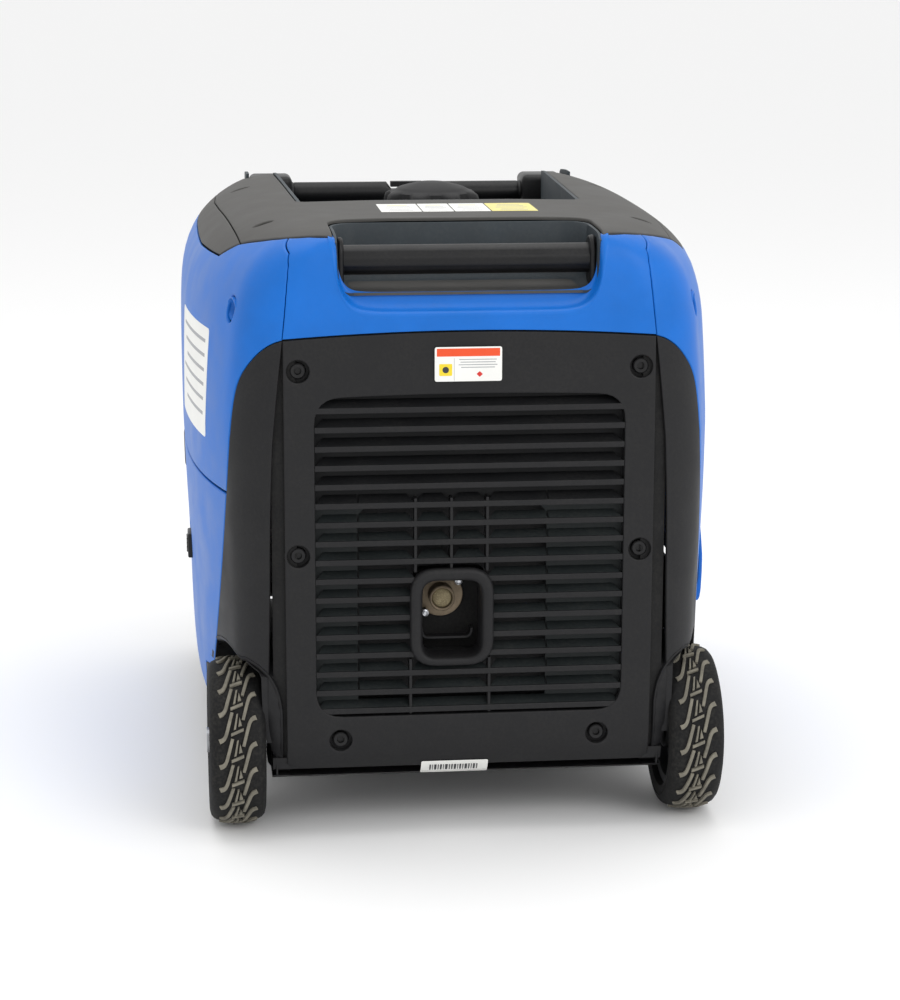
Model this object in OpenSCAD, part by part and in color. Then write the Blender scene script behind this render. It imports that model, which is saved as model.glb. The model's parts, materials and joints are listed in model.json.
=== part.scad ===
// Inverter generator: closed casing on two rear wheels and two front feet.
// X runs across, Y along the casing with the exhaust end at -Y, Z up.
// The origin is on the floor under the middle of the whole machine.

/* [Casing] */
// Width of the casing at its widest
casing_w = 450; // [446:1:454]
// Height of the top cover above the floor
top_z = 496; // [494:1:498]
// Thickness of the moulded panels
wall = 2.6; // [2:0.1:3]
// Gap left between neighbouring panels
seam = 0.8; // [0.5:0.1:1.2]

/* [Louvred cover] */
// Number of louvre slats
slat_count = 17; // [13:1:19]
// Half width of the louvred opening
grille_half = 124.5; // [118:0.5:128]
// Bottom of the louvred opening
grille_z0 = 103; // [100:1:108]
// Top of the louvred opening
grille_z1 = 365; // [360:1:370]

/* [Exhaust] */
// Sideways place of the exhaust frame
exhaust_x = -15; // [-20:1:-10]
// Height of the exhaust frame's middle
exhaust_z = 184; // [180:1:188]
// Diameter of the tail pipe
tail_d = 21; // [18:0.5:24]

/* [Wheels] */
// Wheel diameter over the tread
wheel_d = 139; // [136:1:140]
// Tyre width
tyre_w = 46; // [42:1:47]
// Middle of each tyre across the machine
wheel_x = 188.5; // [187.5:0.5:190]
// Diameter of the axle
axle_d = 14; // [12:0.5:16]
// Running clearance of the wheel hubs on the axle, per side
axle_play = 0.05; // [0.03:0.01:0.1]

/* [Handles] */
// Diameter of the rear lifting bar
lift_d = 24; // [20:1:25]
// Height of both bars
bar_z = 470; // [468:1:472]
// Sideways place of the pull handle's rods
rod_x = 146; // [145:0.5:147]
// Diameter of the pull handle's rods
rod_d = 16; // [14:0.5:17]
// Running clearance of the rods in their sleeves, per side
rod_play = 0.06; // [0.04:0.01:0.1]

/* [Fuel cap] */
// Diameter of the cap over its lobes
cap_d = 88; // [84:1:90]
// Place of the cap along the casing
cap_y = 12; // [8:1:16]
// Number of finger lobes
cap_lobes = 8; // [6:1:10]

/* [Hidden] */
$fn = 48;
half_w = casing_w / 2;
rear_y = -297;
front_y = 310;
under_z = 46;
mid_y = (rear_y + front_y) / 2;
mid_z = (under_z + top_z) / 2;
half_l = (front_y - rear_y) / 2;
half_h = (top_z - under_z) / 2;
wheel_r = wheel_d / 2;
wheel_y = -front_y + wheel_r;
rim_r = 47.8;
arch_r = wheel_r + 12;
arch_x = 160;
crank_y = 40;
crank_z = 170;
fascia_y = 295;
socket_z = 236;
grip_y = 260;
grip_d = 22;
recoil_y = 60;
recoil_z = 258;
// axis of each door's rolled lower edge
left_hinge_x = -207.7;
left_hinge_z = 72.4;
right_hinge_x = 220.5;
right_hinge_z = 163.2;

// ---------- helpers ----------

// A flat outline in X and Z, extruded from y0 to y1
module along_y(y0, y1) translate([0, y1, 0]) rotate([90, 0, 0]) linear_extrude(y1 - y0) children();

// A flat outline in Y and Z, extruded from x0 to x1
module along_x(x0, x1) translate([x0, 0, 0]) rotate([90, 0, 90]) linear_extrude(x1 - x0) children();

// A box given by its lowest and highest corners
module block(a, b) translate(a) cube(b - a);

module round_rect(w, h, r) {
  square([w - 2 * r, h], center = true);
  square([w, h - 2 * r], center = true);
  for (sx = [-1, 1], sy = [-1, 1]) translate([sx * (w / 2 - r), sy * (h / 2 - r)]) circle(r);
}

module rod_x_way(x0, x1, y, z, r) translate([x0, y, z]) rotate([0, 90, 0]) cylinder(r = r, h = x1 - x0);
module rod_y_way(y0, y1, x, z, r) translate([x, y0, z]) rotate([-90, 0, 0]) cylinder(r = r, h = y1 - y0);

// A point on the curve from a to c that leans towards b
function bend(a, b, c, t) = (1 - t) * (1 - t) * a + 2 * t * (1 - t) * b + t * t * c;
// Half width of the barrel-shaped casing at y, which narrows faster towards the socket end
function barrel(y) = half_w - (y > 50 ? 55 : 37) * pow(abs(y - 50) / 330, 3.2);
function mirrored(p) = concat(p, [for (i = [len(p) - 1:-1:0]) [-p[i][0], p[i][1]]]);

// The casing seen from above
module plan_outline() polygon(mirrored(concat(
  [for (t = [0:0.25:0.75]) bend([156, rear_y], [184, rear_y], [barrel(-268), -268], t)],
  [for (y = [-268:36:272]) [barrel(y), y]],
  [for (t = [0.25:0.25:1]) bend([barrel(272), 272], [201, front_y], [160, front_y], t)])));

// The casing seen from the end: tucked under at the sill, rounded at the shoulder
module end_outline() polygon(mirrored([
  [183, under_z], [205.5, 58], [216.5, 80], [219, 110], [220, 165], [221.5, 210], [223.5, 250],
  [half_w, 300], [half_w, 395], [half_w - 3, 430], [half_w - 12, 457], [half_w - 27, top_z - 20],
  [half_w - 47, top_z - 8], [half_w - 75, top_z - 1.5], [60, top_z]]));

// The casing seen from the side
module side_outline() polygon([
  [rear_y, 74], [rear_y, 415], [rear_y + 13, 484], [rear_y + 20, top_z - 4], [rear_y + 34, top_z],
  [190, top_z], [270, top_z - 5], [296, top_z - 16], [306, 455], [front_y, 400], [front_y, 120],
  [front_y - 8, 64], [front_y - 26, under_z], [rear_y + 24, under_z], [rear_y + 6, 54]]);

// The solid casing, drawn in by t all round
module form(t = 0) {
  kx = (half_w - t) / half_w;
  ky = (half_l - t) / half_l;
  kz = (half_h - t) / half_h;
  intersection() {
    translate([0, mid_y, 0]) linear_extrude(top_z + 10) scale([kx, ky]) translate([0, -mid_y])
      plan_outline();
    along_y(rear_y - 10, front_y + 10) translate([0, mid_z]) scale([kx, kz]) translate([0, -mid_z])
      end_outline();
    along_x(-half_w - 10, half_w + 10) translate([mid_y, mid_z]) scale([ky, kz])
      translate([-mid_y, -mid_z]) side_outline();
  }
}

module shell(t = wall) difference() {
  form();
  form(t);
}

// The part of the flank that is black, seen from behind, on the right
module flank_outline(grow = 0) polygon([
  [148.5 + seam - grow, 40], [148.5 + seam - grow, 411 + grow], [158, 408.5 + grow],
  [168 + grow, 401 + grow], [176 + grow, 391 + grow], [182.5 + grow, 380], [187 + grow, 364],
  [191 + grow, 330], [194 + grow, 280], [199 + grow, 200], [205 + grow, 120], [205 + grow, 40]]);

// The space that each rear wheel turns in
module wheel_wells() for (s = [-1, 1]) {
  scale([s, 1, 1]) {
    rod_x_way(arch_x, 240, wheel_y, wheel_r, arch_r);
    block([arch_x, -330, -10], [240, wheel_y, wheel_r + 14]);
    block([arch_x, -330, -10], [240, wheel_y + arch_r, wheel_r]);
  }
}

// The mouth of the pocket that the rear lifting bar crosses
module pocket_mouth(w, y1, z0) block([-w, rear_y - 10, z0], [w, y1, top_z + 10]);

// ---------- base and running gear ----------

module base_tray() color("#1c1d1f") difference() {
  union() {
    intersection() {
      form();
      block([-230, rear_y + 4, under_z], [230, front_y + 5, 68]);
    }
    // cheeks that carry the axle
    for (s = [-1, 1]) scale([s, 1, 1]) block([148, wheel_y - 22, 52], [156, wheel_y + 22, 94]);
  }
  wheel_wells();
  block([-146, -286, 50.5], [146, 296, 80]);
  for (s = [-1, 1]) scale([s, 1, 1]) block([163, -150, 50.5], [196, 280, 80]);
  rod_x_way(-200, 200, wheel_y, wheel_r, axle_d / 2 + 0.1);
  // room for the foot of the left door as it tips out
  block([-230, -162, 65.4], [-200, 47, 75]);
  // the skirts of the cover and flanks lap over the tray here
  difference() {
    block([-240, rear_y - 5, 51.6], [240, -149.6, 75]);
    form(3.6);
  }
}

module front_feet() color("#111111") for (s = [-1, 1])
  translate([s * 150, 250, 0]) difference() {
    union() {
      cylinder(r = 21, h = 34);
      translate([0, 0, 34]) cylinder(r = 17, h = under_z - 34);
    }
    translate([0, 0, 10]) cylinder(r = 5, h = 40);
  }

module wheel_axle() color("#b8bcc2") {
  rod_x_way(-211, 211, wheel_y, wheel_r, axle_d / 2);
  for (s = [-1, 1]) scale([s, 1, 1]) rod_x_way(209.4, 212.6, wheel_y, wheel_r, 10.5);
}

module tyre() rotate([0, 90, 0]) rotate_extrude() polygon([
  [rim_r, -tyre_w / 2 + 6], [54, -tyre_w / 2], [61, -tyre_w / 2 + 0.6], [66.5, -tyre_w / 2 + 4],
  [68.8, -14], [wheel_r, -10], [wheel_r, 10], [68.8, 14], [66.5, tyre_w / 2 - 4],
  [61, tyre_w / 2 - 0.6], [54, tyre_w / 2], [rim_r, tyre_w / 2 - 6]]);

module rim() rotate([0, 90, 0]) rotate_extrude() polygon([
  [axle_d / 2 + axle_play, -20], [16, -20], [18, -6], [38, -6], [41, -16], [rim_r, -16.5],
  [rim_r, 16.5], [42, 16], [39, 2], [19, 2], [17, 17.5], [axle_d / 2 + axle_play, 17.5]]);

module left_tyre() color("#16161a") translate([-wheel_x, wheel_y, wheel_r]) mirror([1, 0, 0]) tyre();
module right_tyre() color("#16161a") translate([wheel_x, wheel_y, wheel_r]) tyre();
module left_rim() color("#2a2b2e") translate([-wheel_x, wheel_y, wheel_r]) mirror([1, 0, 0]) rim();
module right_rim() color("#2a2b2e") translate([wheel_x, wheel_y, wheel_r]) rim();

// ---------- exhaust end ----------

screw_places = [[137, 387], [138, 237.5], [105, 83]];

module louvre_slat(z) along_x(-grille_half - 0.4, grille_half + 0.4) translate([rear_y, z]) polygon([
  [0.4, 0], [1.6, -1.2], [13, 5.8], [13, 8], [11.6, 8.2], [0.4, 1.8]]);

module rear_cover() color("#232427") {
  pitch = (grille_z1 - grille_z0) / slat_count;
  difference() {
    intersection() {
      shell(3);
      block([-148.5, rear_y - 1, 57], [148.5, rear_y + 10, 411]);
    }
    along_y(rear_y - 5, rear_y + 15) translate([0, (grille_z0 + grille_z1) / 2])
      round_rect(2 * grille_half, grille_z1 - grille_z0, 20);
    for (s = [-1, 1], p = screw_places) rod_y_way(rear_y - 5, rear_y + 15, s * p[0], p[1], 9.8);
  }
  // wells that the fixing screws sit in
  for (s = [-1, 1], p = screw_places) difference() {
    rod_y_way(rear_y + 1, rear_y + 9, s * p[0], p[1], 11);
    rod_y_way(rear_y, rear_y + 6.8, s * p[0], p[1], 9.3);
    rod_y_way(rear_y, rear_y + 10, s * p[0], p[1], 3);
  }
  // slats, cut away round the exhaust frame
  difference() {
    for (i = [0:slat_count - 1]) louvre_slat(grille_z0 + (i + 0.35) * pitch);
    along_y(rear_y - 5, rear_y + 20) translate([exhaust_x, exhaust_z]) square([73, 84], center = true);
  }
  // uprights that tie the slats together
  for (x = [-44, exhaust_x, 14]) block([x - 1.5, rear_y + 3, exhaust_z + 44], [x + 1.5, rear_y + 9, 282]);
  for (x = [-48, 16]) block([x - 1.5, rear_y + 3, grille_z0 - 1], [x + 1.5, rear_y + 9, exhaust_z - 44]);
}

module cover_screws() color("#0c0c0d") for (s = [-1, 1], p = screw_places) difference() {
  union() {
    rod_y_way(rear_y + 3, rear_y + 6.7, s * p[0], p[1], 7);
    rod_y_way(rear_y + 6.6, rear_y + 18, s * p[0], p[1], 2.9);
  }
  rod_y_way(rear_y + 2, rear_y + 5, s * p[0], p[1], 3.2);
}

module exhaust_ring() color("#1a1a1c") difference() {
  union() {
    along_y(rear_y - 3.4, rear_y + 4) translate([exhaust_x, exhaust_z]) round_rect(68, 80, 13);
    along_y(rear_y + 4, rear_y + 22) translate([exhaust_x, exhaust_z]) round_rect(56, 70, 9);
  }
  along_y(rear_y - 5, rear_y + 25) translate([exhaust_x, exhaust_z]) round_rect(48, 62, 8);
}

module rear_flank() difference() {
  intersection() {
    shell();
    along_y(rear_y - 5, -150) flank_outline();
    block([0, rear_y - 5, 52], [240, -150, 420]);
  }
  wheel_wells();
}

// inner wall of the wheel arch, which joins the flank to the base
module arch_liner() difference() {
  intersection() {
    form(wall + 0.4);
    block([arch_x - 3, rear_y, 69.5], [arch_x - 0.4, wheel_y + arch_r, wheel_r + arch_r]);
    rod_x_way(100, 200, wheel_y, wheel_r, arch_r + 3);
  }
  rod_x_way(100, 200, wheel_y, wheel_r, axle_d / 2 + 0.5);
}

module right_rear_flank() color("#1d1e20") {
  rear_flank();
  arch_liner();
  // the black sill that runs forward below the right door
  difference() {
    intersection() {
      shell();
      block([150, -213, 69], [240, 268, 157]);
    }
    along_y(rear_y - 5, -150) flank_outline();
    wheel_wells();
  }
}

module left_rear_flank() color("#1d1e20") mirror([1, 0, 0]) {
  rear_flank();
  arch_liner();
}

module rear_scoop_panel() color("#1573d8") difference() {
  intersection() {
    shell();
    along_y(rear_y - 5, rear_y + 34) polygon([
      [-145, 411 + seam], [145, 411 + seam], [140, 487], [-140, 487]]);
  }
  along_y(rear_y - 10, rear_y + 40) translate([0, 480]) round_rect(214, 100, 16);
}

// ---------- blue sides ----------

// The whole side between the exhaust end and the front panel
module side_skin() difference() {
  intersection() {
    shell();
    along_x(100, 240) polygon([
      [rear_y - 5, 69], [rear_y - 5, 487], [-262, 487], [-238, 469], [268, 469], [268, 69]]);
  }
  along_y(rear_y - 5, -150) flank_outline(seam);
  along_y(rear_y - 5, rear_y + 45) polygon([
    [0, 40], [149, 40], [149, 412], [145 + seam, 411], [140 + seam, 488], [0, 488]]);
  wheel_wells();
}

// Outlines of the two access doors, seen from the side
module left_door_outline(grow = 0) polygon([
  [-290, 70 - grow], [-290, 283 + grow], [34 + grow, 283 + grow], [46 + grow, 270], [46 + grow, 70 - grow]]);
module right_door_outline(grow = 0) polygon([
  [-176 - grow, 160 - grow], [-176 - grow, 292 + grow], [96 + grow, 292 + grow], [96 + grow, 160 - grow]]);

module recoil_mouth(grow = 0) translate([recoil_y, recoil_z]) round_rect(112 + grow, 50 + grow, 16);

module left_side_panel() color("#1573d8") difference() {
  mirror([1, 0, 0]) side_skin();
  along_x(-240, -150) left_door_outline(seam);
  along_x(-240, -150) recoil_mouth();
  // nothing is left of the panel below the door
  block([-240, -170, 60], [-150, 46 + seam, 71]);
}

module right_side_panel() color("#1573d8") difference() {
  side_skin();
  along_x(150, 240) right_door_outline(seam);
  block([150, -230, 60], [240, 290, 158]);
  block([150, -176 - seam, 157], [240, 96 + seam, 161]);
}

module left_door() color("#166bc8") difference() {
  union() {
    intersection() {
      mirror([1, 0, 0]) side_skin();
      along_x(-240, -150) left_door_outline();
    }
    rod_y_way(-140, 40, left_hinge_x, left_hinge_z, 2.4);
  }
  along_x(-240, -150) recoil_mouth(6);
  along_x(-240, -150) translate([-40, 194.5]) square([27, 32], center = true);
}

module left_door_latch() color("#131315") {
  block([-223.8, -53, 179], [-212.3, -27, 201]);
  block([-212.8, -50, 184], [-207.3, -30, 196]);
}

module right_door() color("#166bc8") difference() {
  union() {
    intersection() {
      side_skin();
      along_x(150, 240) right_door_outline();
    }
    intersection() {
      translate([4, 0, 0]) shell(6.5);
      block([150, -176, 160], [half_w, 96, 206]);
    }
    rod_y_way(-170, 90, right_hinge_x, right_hinge_z, 3);
  }
  along_x(150, 240) translate([-40, 266.5]) square([27, 32], center = true);
}

module right_door_latch() color("#131315") {
  block([212, -53, 251], [224.4, -27, 273]);
  block([207, -50, 256], [212.5, -30, 268]);
}

// ---------- top ----------

// The recess that holds the cap, widening towards the front, and the pocket of the pull handle
module recess_outline(t = 0) {
  polygon([[-124 + t, -57 + t], [124 - t, -57 + t], [133 - t, 226], [-133 + t, 226]]);
  translate([-159 + t, 225]) square([318 - 2 * t, 52 - t]);
}

module top_cover() color("#4a4846") difference() {
  intersection() {
    shell();
    along_x(-185, 185) polygon([
      [rear_y - 5, 488], [-262, 488], [-238, 470], [268, 470], [268, 510], [rear_y - 5, 510]]);
  }
  linear_extrude(top_z + 10) recess_outline();
  pocket_mouth(107.5, -196, 440);
}

module top_rail() intersection() {
  shell();
  block([185 + seam, -240, 469 + seam], [240, 268, top_z + 5]);
}
module left_top_rail() color("#454341") mirror([1, 0, 0]) top_rail();
module right_top_rail() color("#454341") top_rail();

// A moulded tub open at the top and at the back
module rear_pocket() color("#3a3d40") difference() {
  intersection() {
    block([-106.5, rear_y + 6, 441], [106.5, -196.5, top_z]);
    form(0.4);
  }
  block([-103.5, rear_y - 5, 444], [103.5, -199.5, top_z + 5]);
  for (s = [-1, 1]) rod_x_way(s * 105 - 4, s * 105 + 4, -258, bar_z, 6.2);
}

module rear_lift_bar() color("#1f2022") {
  rod_x_way(-98.6, 98.6, -258, bar_z, lift_d / 2);
  for (s = [-1, 1]) scale([s, 1, 1]) {
    difference() {
      along_x(98.5, 103) translate([-258, bar_z - 2]) round_rect(30, 44, 12);
      rod_x_way(95, 110, -258, bar_z, 3);
    }
    rod_x_way(98, 112, -258, bar_z, 6);
  }
}

module top_recess() color("#2e3033") difference() {
  intersection() {
    union() {
      translate([0, 0, 459]) linear_extrude(top_z - 459) recess_outline(0.4);
      block([-158.6, 225.4, 424], [158.6, 276.5, 470]);
    }
    form(0.4);
  }
  translate([0, 0, 462]) linear_extrude(60) recess_outline(3.2);
  block([-155.8, 228, 427], [155.8, 290, top_z + 5]);
  for (s = [-1, 1]) rod_y_way(150, 240, s * rod_x, bar_z, 10.6);
  translate([0, cap_y, 440]) cylinder(r = 36, h = 40);
}

module handle_sleeves() color("#8d9096") for (s = [-1, 1]) difference() {
  rod_y_way(-175, 228, s * rod_x, bar_z, 10.5);
  rod_y_way(-180, 230, s * rod_x, bar_z, rod_d / 2 + rod_play);
}

module handle_rods() color("#a9adb3") for (s = [-1, 1])
  rod_y_way(-170, 262, s * rod_x, bar_z, rod_d / 2);

module handle_grip() color("#1b1c1e") difference() {
  rod_x_way(-118, 118, grip_y, bar_z, grip_d / 2);
  block([-16, grip_y - 5.5, bar_z + 3], [16, grip_y + 5.5, bar_z + 15]);
}

module handle_corners() color("#202123") for (s = [-1, 1]) scale([s, 1, 1]) difference() {
  along_x(113, 154.6) translate([grip_y, bar_z + 2]) round_rect(44, 32, 8);
  rod_x_way(100, 118.2, grip_y, bar_z, grip_d / 2 + 0.05);
  rod_y_way(200, 262.2, rod_x, bar_z, rod_d / 2 + 0.05);
}

module handle_button() color("#2a2b2d")
  block([-15.4, grip_y - 4.9, bar_z + 5.7], [15.4, grip_y + 4.9, bar_z + 10.7]);

// ---------- fuel ----------

module fuel_tank() color("#26282b") difference() {
  intersection() {
    block([-168, -185, 372], [168, 205, 452]);
    form(20);
  }
  block([-164, -181, 376], [164, 201, 448]);
  translate([0, cap_y, 440]) cylinder(r = 29.9, h = 30);
}

module filler_neck() color("#33363a") translate([0, cap_y, 0]) difference() {
  union() {
    translate([0, 0, 440]) cylinder(r = 29.8, h = 46);
    translate([0, 0, 452.2]) cylinder(r = 35.5, h = 5);
  }
  translate([0, 0, 430]) cylinder(r = 26, h = 60);
}

// The sealing cup that drops into the neck and carries the turning cap
module cap_insert() color("#6d6f70") translate([0, cap_y, 0]) {
  translate([0, 0, 468]) cylinder(r = 25.94, h = 18.3);
  translate([0, 0, 486.2]) cylinder(r = 32, h = 3.4);
  translate([0, 0, 489.5]) cylinder(r = 9, h = 8);
}

module fuel_cap() color("#303235") translate([0, cap_y, 0]) difference() {
  union() {
    translate([0, 0, 471]) difference() {
      cylinder(r = cap_d / 2, h = 25);
      for (i = [0:cap_lobes - 1]) rotate(i * 360 / cap_lobes) translate([cap_d / 2 + 7, 0, -1])
        cylinder(r = 12.5, h = 22);
    }
    // low domed crown
    translate([0, 0, 496]) rotate_extrude() intersection() {
      translate([0, -111]) circle(r = 120, $fn = 96);
      square([cap_d / 2, 20]);
    }
  }
  translate([0, 0, 460]) cylinder(r = 32.4, h = 30);
  translate([0, 0, 480]) cylinder(r = 9.06, h = 17.9);
}

// ---------- front ----------

module front_panel() color("#232427") difference() {
  intersection() {
    shell(4);
    block([-240, 268 + seam, 69], [240, front_y + 5, top_z + 5]);
  }
  along_y(280, 330) translate([0, 300]) round_rect(316, 236, 18);
  // the pull handle leaves through this notch
  block([-160, 260, 424], [160, 330, 520]);
}

module control_panel() color("#3b3e42") difference() {
  along_y(fascia_y - 3, fascia_y) translate([0, 300]) round_rect(330, 250, 20);
  for (s = [-1, 1]) along_y(280, 300) translate([s * 42 - 60, socket_z]) circle(21.5);
  along_y(280, 300) translate([40, socket_z]) square([44.4, 40.4], center = true);
  along_y(280, 300) translate([-60, 352]) square([84.4, 48.4], center = true);
  along_y(280, 300) translate([100, 352]) circle(8.1);
  along_y(280, 300) translate([35, 352]) circle(11.2);
  along_y(280, 300) translate([35, 300]) circle(6.2);
  along_y(280, 300) translate([110, socket_z]) circle(4.02);
}

module ac_sockets() color("#1c1d20") for (s = [-1, 1]) translate([s * 42 - 60, 0, socket_z]) difference() {
  union() {
    rod_y_way(fascia_y - 32, fascia_y + 0.5, 0, 0, 21.4);
    along_y(fascia_y + 0.2, fascia_y + 4) round_rect(56, 60, 8);
  }
  rod_y_way(fascia_y - 14, fascia_y + 10, 0, 0, 18.8);
  for (t = [-1, 1]) rod_y_way(fascia_y - 30, fascia_y, t * 9.5, 0, 2.5);
}

module socket_lid(x) translate([x, 0, 0]) {
  along_y(fascia_y + 4.4, fascia_y + 9.4) translate([0, socket_z]) round_rect(54, 56, 8);
  rod_x_way(-16, 16, fascia_y + 6.9, socket_z + 30, 2.5);
}
module left_socket_lid() color("#55585d") socket_lid(-102);
module right_socket_lid() color("#55585d") socket_lid(-18);

module dc_outlets() color("#202225") difference() {
  along_y(fascia_y - 22, fascia_y + 3) translate([40, socket_z]) round_rect(44, 40, 4);
  rod_y_way(fascia_y - 15, fascia_y + 5, 30, socket_z, 8);
  for (dz = [-9, 9]) block([43, fascia_y - 12, socket_z + dz - 3], [57, fascia_y + 5, socket_z + dz + 3]);
}

module display() color("#5d6a63") along_y(fascia_y - 12, fascia_y + 1.5) translate([-60, 352])
  round_rect(84, 48, 4);

module start_button() color("#b3201c") rod_y_way(fascia_y - 14, fascia_y + 5, 35, 352, 11.1);

module engine_switch() color("#d8242a") {
  rod_y_way(fascia_y - 14, fascia_y + 1, 100, 352, 8);
  rod_y_way(fascia_y + 0.5, fascia_y + 5, 100, 352, 24);
  along_y(fascia_y + 4.8, fascia_y + 13) translate([100, 352]) round_rect(12, 44, 5);
}

module breaker_button() color("#101012") rod_y_way(fascia_y - 12, fascia_y + 6, 35, 300, 6.1);

module earth_terminal() color("#c9b26a") {
  rod_y_way(fascia_y - 14, fascia_y + 10, 110, socket_z, 4);
  difference() {
    translate([110, fascia_y + 6, socket_z]) rotate([90, 0, 0]) cylinder(r = 8, h = 5.8, $fn = 6);
    rod_y_way(fascia_y - 14, fascia_y + 10, 110, socket_z, 4.02);
  }
}

// ---------- engine and alternator ----------

module recoil_housing() color("#242529") difference() {
  union() {
    rod_x_way(-186, -160, crank_y, crank_z, 62);
    // rope guide up to the grip
    block([-204, recoil_y - 16, crank_z + 40], [-184, recoil_y + 16, recoil_z + 14]);
  }
  rod_x_way(-182, -150, crank_y, crank_z, 58);
  rod_x_way(-190, -150, crank_y, crank_z, 6.2);
  rod_x_way(-210, -180, recoil_y, recoil_z, 4);
}

module recoil_pulley() color("#8c8f94") difference() {
  union() {
    rod_x_way(-179, -163, crank_y, crank_z, 50);
    rod_x_way(-189, -162, crank_y, crank_z, 6.15);
  }
  difference() {
    rod_x_way(-174, -168, crank_y, crank_z, 51);
    rod_x_way(-175, -167, crank_y, crank_z, 42);
  }
}

module recoil_grip() color("#141416") {
  along_x(-half_w, -half_w + 17) translate([recoil_y, recoil_z]) round_rect(92, 26, 12);
  rod_x_way(-half_w + 16.5, -204.4, recoil_y, recoil_z, 7);
}

module crankcase() color("#8f9296") difference() {
  union() {
    block([-48, -30, 70], [62, 112, 232]);
    block([-44, -64, 110], [58, -30, 222]);
  }
  rod_x_way(-60, 80, crank_y, crank_z, 12.06);
}

module crankshaft() color("#a7aab0") {
  rod_x_way(-150, 64, crank_y, crank_z, 12);
  // rotor bell and cooling fan
  difference() {
    rod_x_way(-142, -58, crank_y, crank_z, 80);
    rod_x_way(-130, -50, crank_y, crank_z, 74);
  }
}

module alternator_stator() color("#9c6b3c") difference() {
  rod_x_way(-122, -50.5, crank_y, crank_z, 70);
  rod_x_way(-130, -40, crank_y, crank_z, 40);
}

module cylinder_head() color("#9b9ea2") difference() {
  union() {
    for (i = [0:6]) block([-50, -132 + i * 10, 118], [64, -127 + i * 10, 214]);
    block([-36, -140, 130], [50, -64.2, 202]);
  }
  // well round the spark plug
  translate([8, -100, 202]) cylinder(r = 11, h = 20);
}

module spark_plug() color("#d9d4c8") {
  translate([8, -100, 202.2]) cylinder(r = 7, h = 12);
  translate([8, -100, 214]) cylinder(r = 9.5, h = 30);
}

module carburettor() color("#a4a6a9") {
  block([64.6, -20, 170], [100, 30, 230]);
  rod_x_way(99.5, 119.5, 5, 200, 18);
}

module air_filter_box() color("#27282b") difference() {
  block([120, -60, 150], [196, 84, 262]);
  block([123, -57, 153], [193, 81, 259]);
  rod_x_way(110, 130, 5, 200, 15);
}

module muffler() color("#6b6660") difference() {
  intersection() {
    block([-112, -262, 108], [96, -146, 262]);
    rod_x_way(-120, 110, -204, 185, 86);
  }
  intersection() {
    block([-109, -259, 111], [93, -149, 259]);
    rod_x_way(-120, 110, -204, 185, 83);
  }
  rod_y_way(-270, -230, exhaust_x - 6, 196.5, tail_d / 2 + 0.05);
}

module tail_pipe() color("#8a8580") difference() {
  union() {
    rod_y_way(-283, -240, exhaust_x - 6, 196.5, tail_d / 2);
    rod_y_way(-268, -262.2, exhaust_x - 6, 196.5, tail_d / 2 + 8);
  }
  rod_y_way(-290, -262, exhaust_x - 6, 196.5, tail_d / 2 - 2);
}

module inverter_module() color("#b0b3b8") {
  block([-150, 215, 72], [60, 262, 205]);
  for (i = [0:9]) block([-146 + i * 22, 203, 76], [-142 + i * 22, 215.2, 200]);
}

module battery() color("#1f3350") {
  block([84, 120, 70], [184, 190, 165]);
  for (x = [100, 168]) translate([x, 155, 165]) cylinder(r = 6, h = 10);
}

// Plain plates: one on the louvred cover and one on the top
module label_plates() color("#e9e9e6") {
  block([-29, rear_y - 0.6, 377.5], [25, rear_y, 405]);
  block([-59, -150, top_z], [74, -92, top_z + 0.6]);
}

base_tray();
front_feet();
wheel_axle();
left_tyre();
left_rim();
right_tyre();
right_rim();
rear_cover();
cover_screws();
exhaust_ring();
left_rear_flank();
right_rear_flank();
rear_scoop_panel();
left_side_panel();
right_side_panel();
left_door();
left_door_latch();
right_door();
right_door_latch();
top_cover();
left_top_rail();
right_top_rail();
rear_pocket();
rear_lift_bar();
top_recess();
handle_sleeves();
handle_rods();
handle_grip();
handle_corners();
handle_button();
fuel_tank();
filler_neck();
cap_insert();
fuel_cap();
front_panel();
control_panel();
ac_sockets();
left_socket_lid();
right_socket_lid();
dc_outlets();
display();
start_button();
engine_switch();
breaker_button();
earth_terminal();
recoil_housing();
recoil_pulley();
recoil_grip();
crankcase();
crankshaft();
cylinder_head();
spark_plug();
alternator_stator();
carburettor();
air_filter_box();
muffler();
tail_pipe();
inverter_module();
battery();
label_plates();
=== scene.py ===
"""Inverter generator: the looks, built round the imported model. Sizes here are millimetres."""
import json
import math

import bmesh
import bpy
import numpy as np
from mathutils import Matrix, Vector
from mathutils.geometry import delaunay_2d_cdt


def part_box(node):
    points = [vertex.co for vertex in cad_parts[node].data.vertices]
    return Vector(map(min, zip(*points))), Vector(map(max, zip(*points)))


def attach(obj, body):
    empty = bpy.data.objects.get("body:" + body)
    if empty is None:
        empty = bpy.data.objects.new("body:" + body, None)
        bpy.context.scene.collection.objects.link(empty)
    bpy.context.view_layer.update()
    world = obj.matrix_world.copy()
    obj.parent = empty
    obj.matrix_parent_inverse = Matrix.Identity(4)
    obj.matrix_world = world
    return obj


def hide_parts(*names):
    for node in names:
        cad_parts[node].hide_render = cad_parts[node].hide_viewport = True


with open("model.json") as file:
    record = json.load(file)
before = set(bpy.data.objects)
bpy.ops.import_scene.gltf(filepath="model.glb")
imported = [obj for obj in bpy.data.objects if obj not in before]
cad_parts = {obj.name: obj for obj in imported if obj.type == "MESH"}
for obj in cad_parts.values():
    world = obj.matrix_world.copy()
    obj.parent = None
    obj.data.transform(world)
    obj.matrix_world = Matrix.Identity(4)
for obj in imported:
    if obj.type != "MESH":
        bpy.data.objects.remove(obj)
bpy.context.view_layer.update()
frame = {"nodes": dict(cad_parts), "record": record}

MM = 0.001


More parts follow.
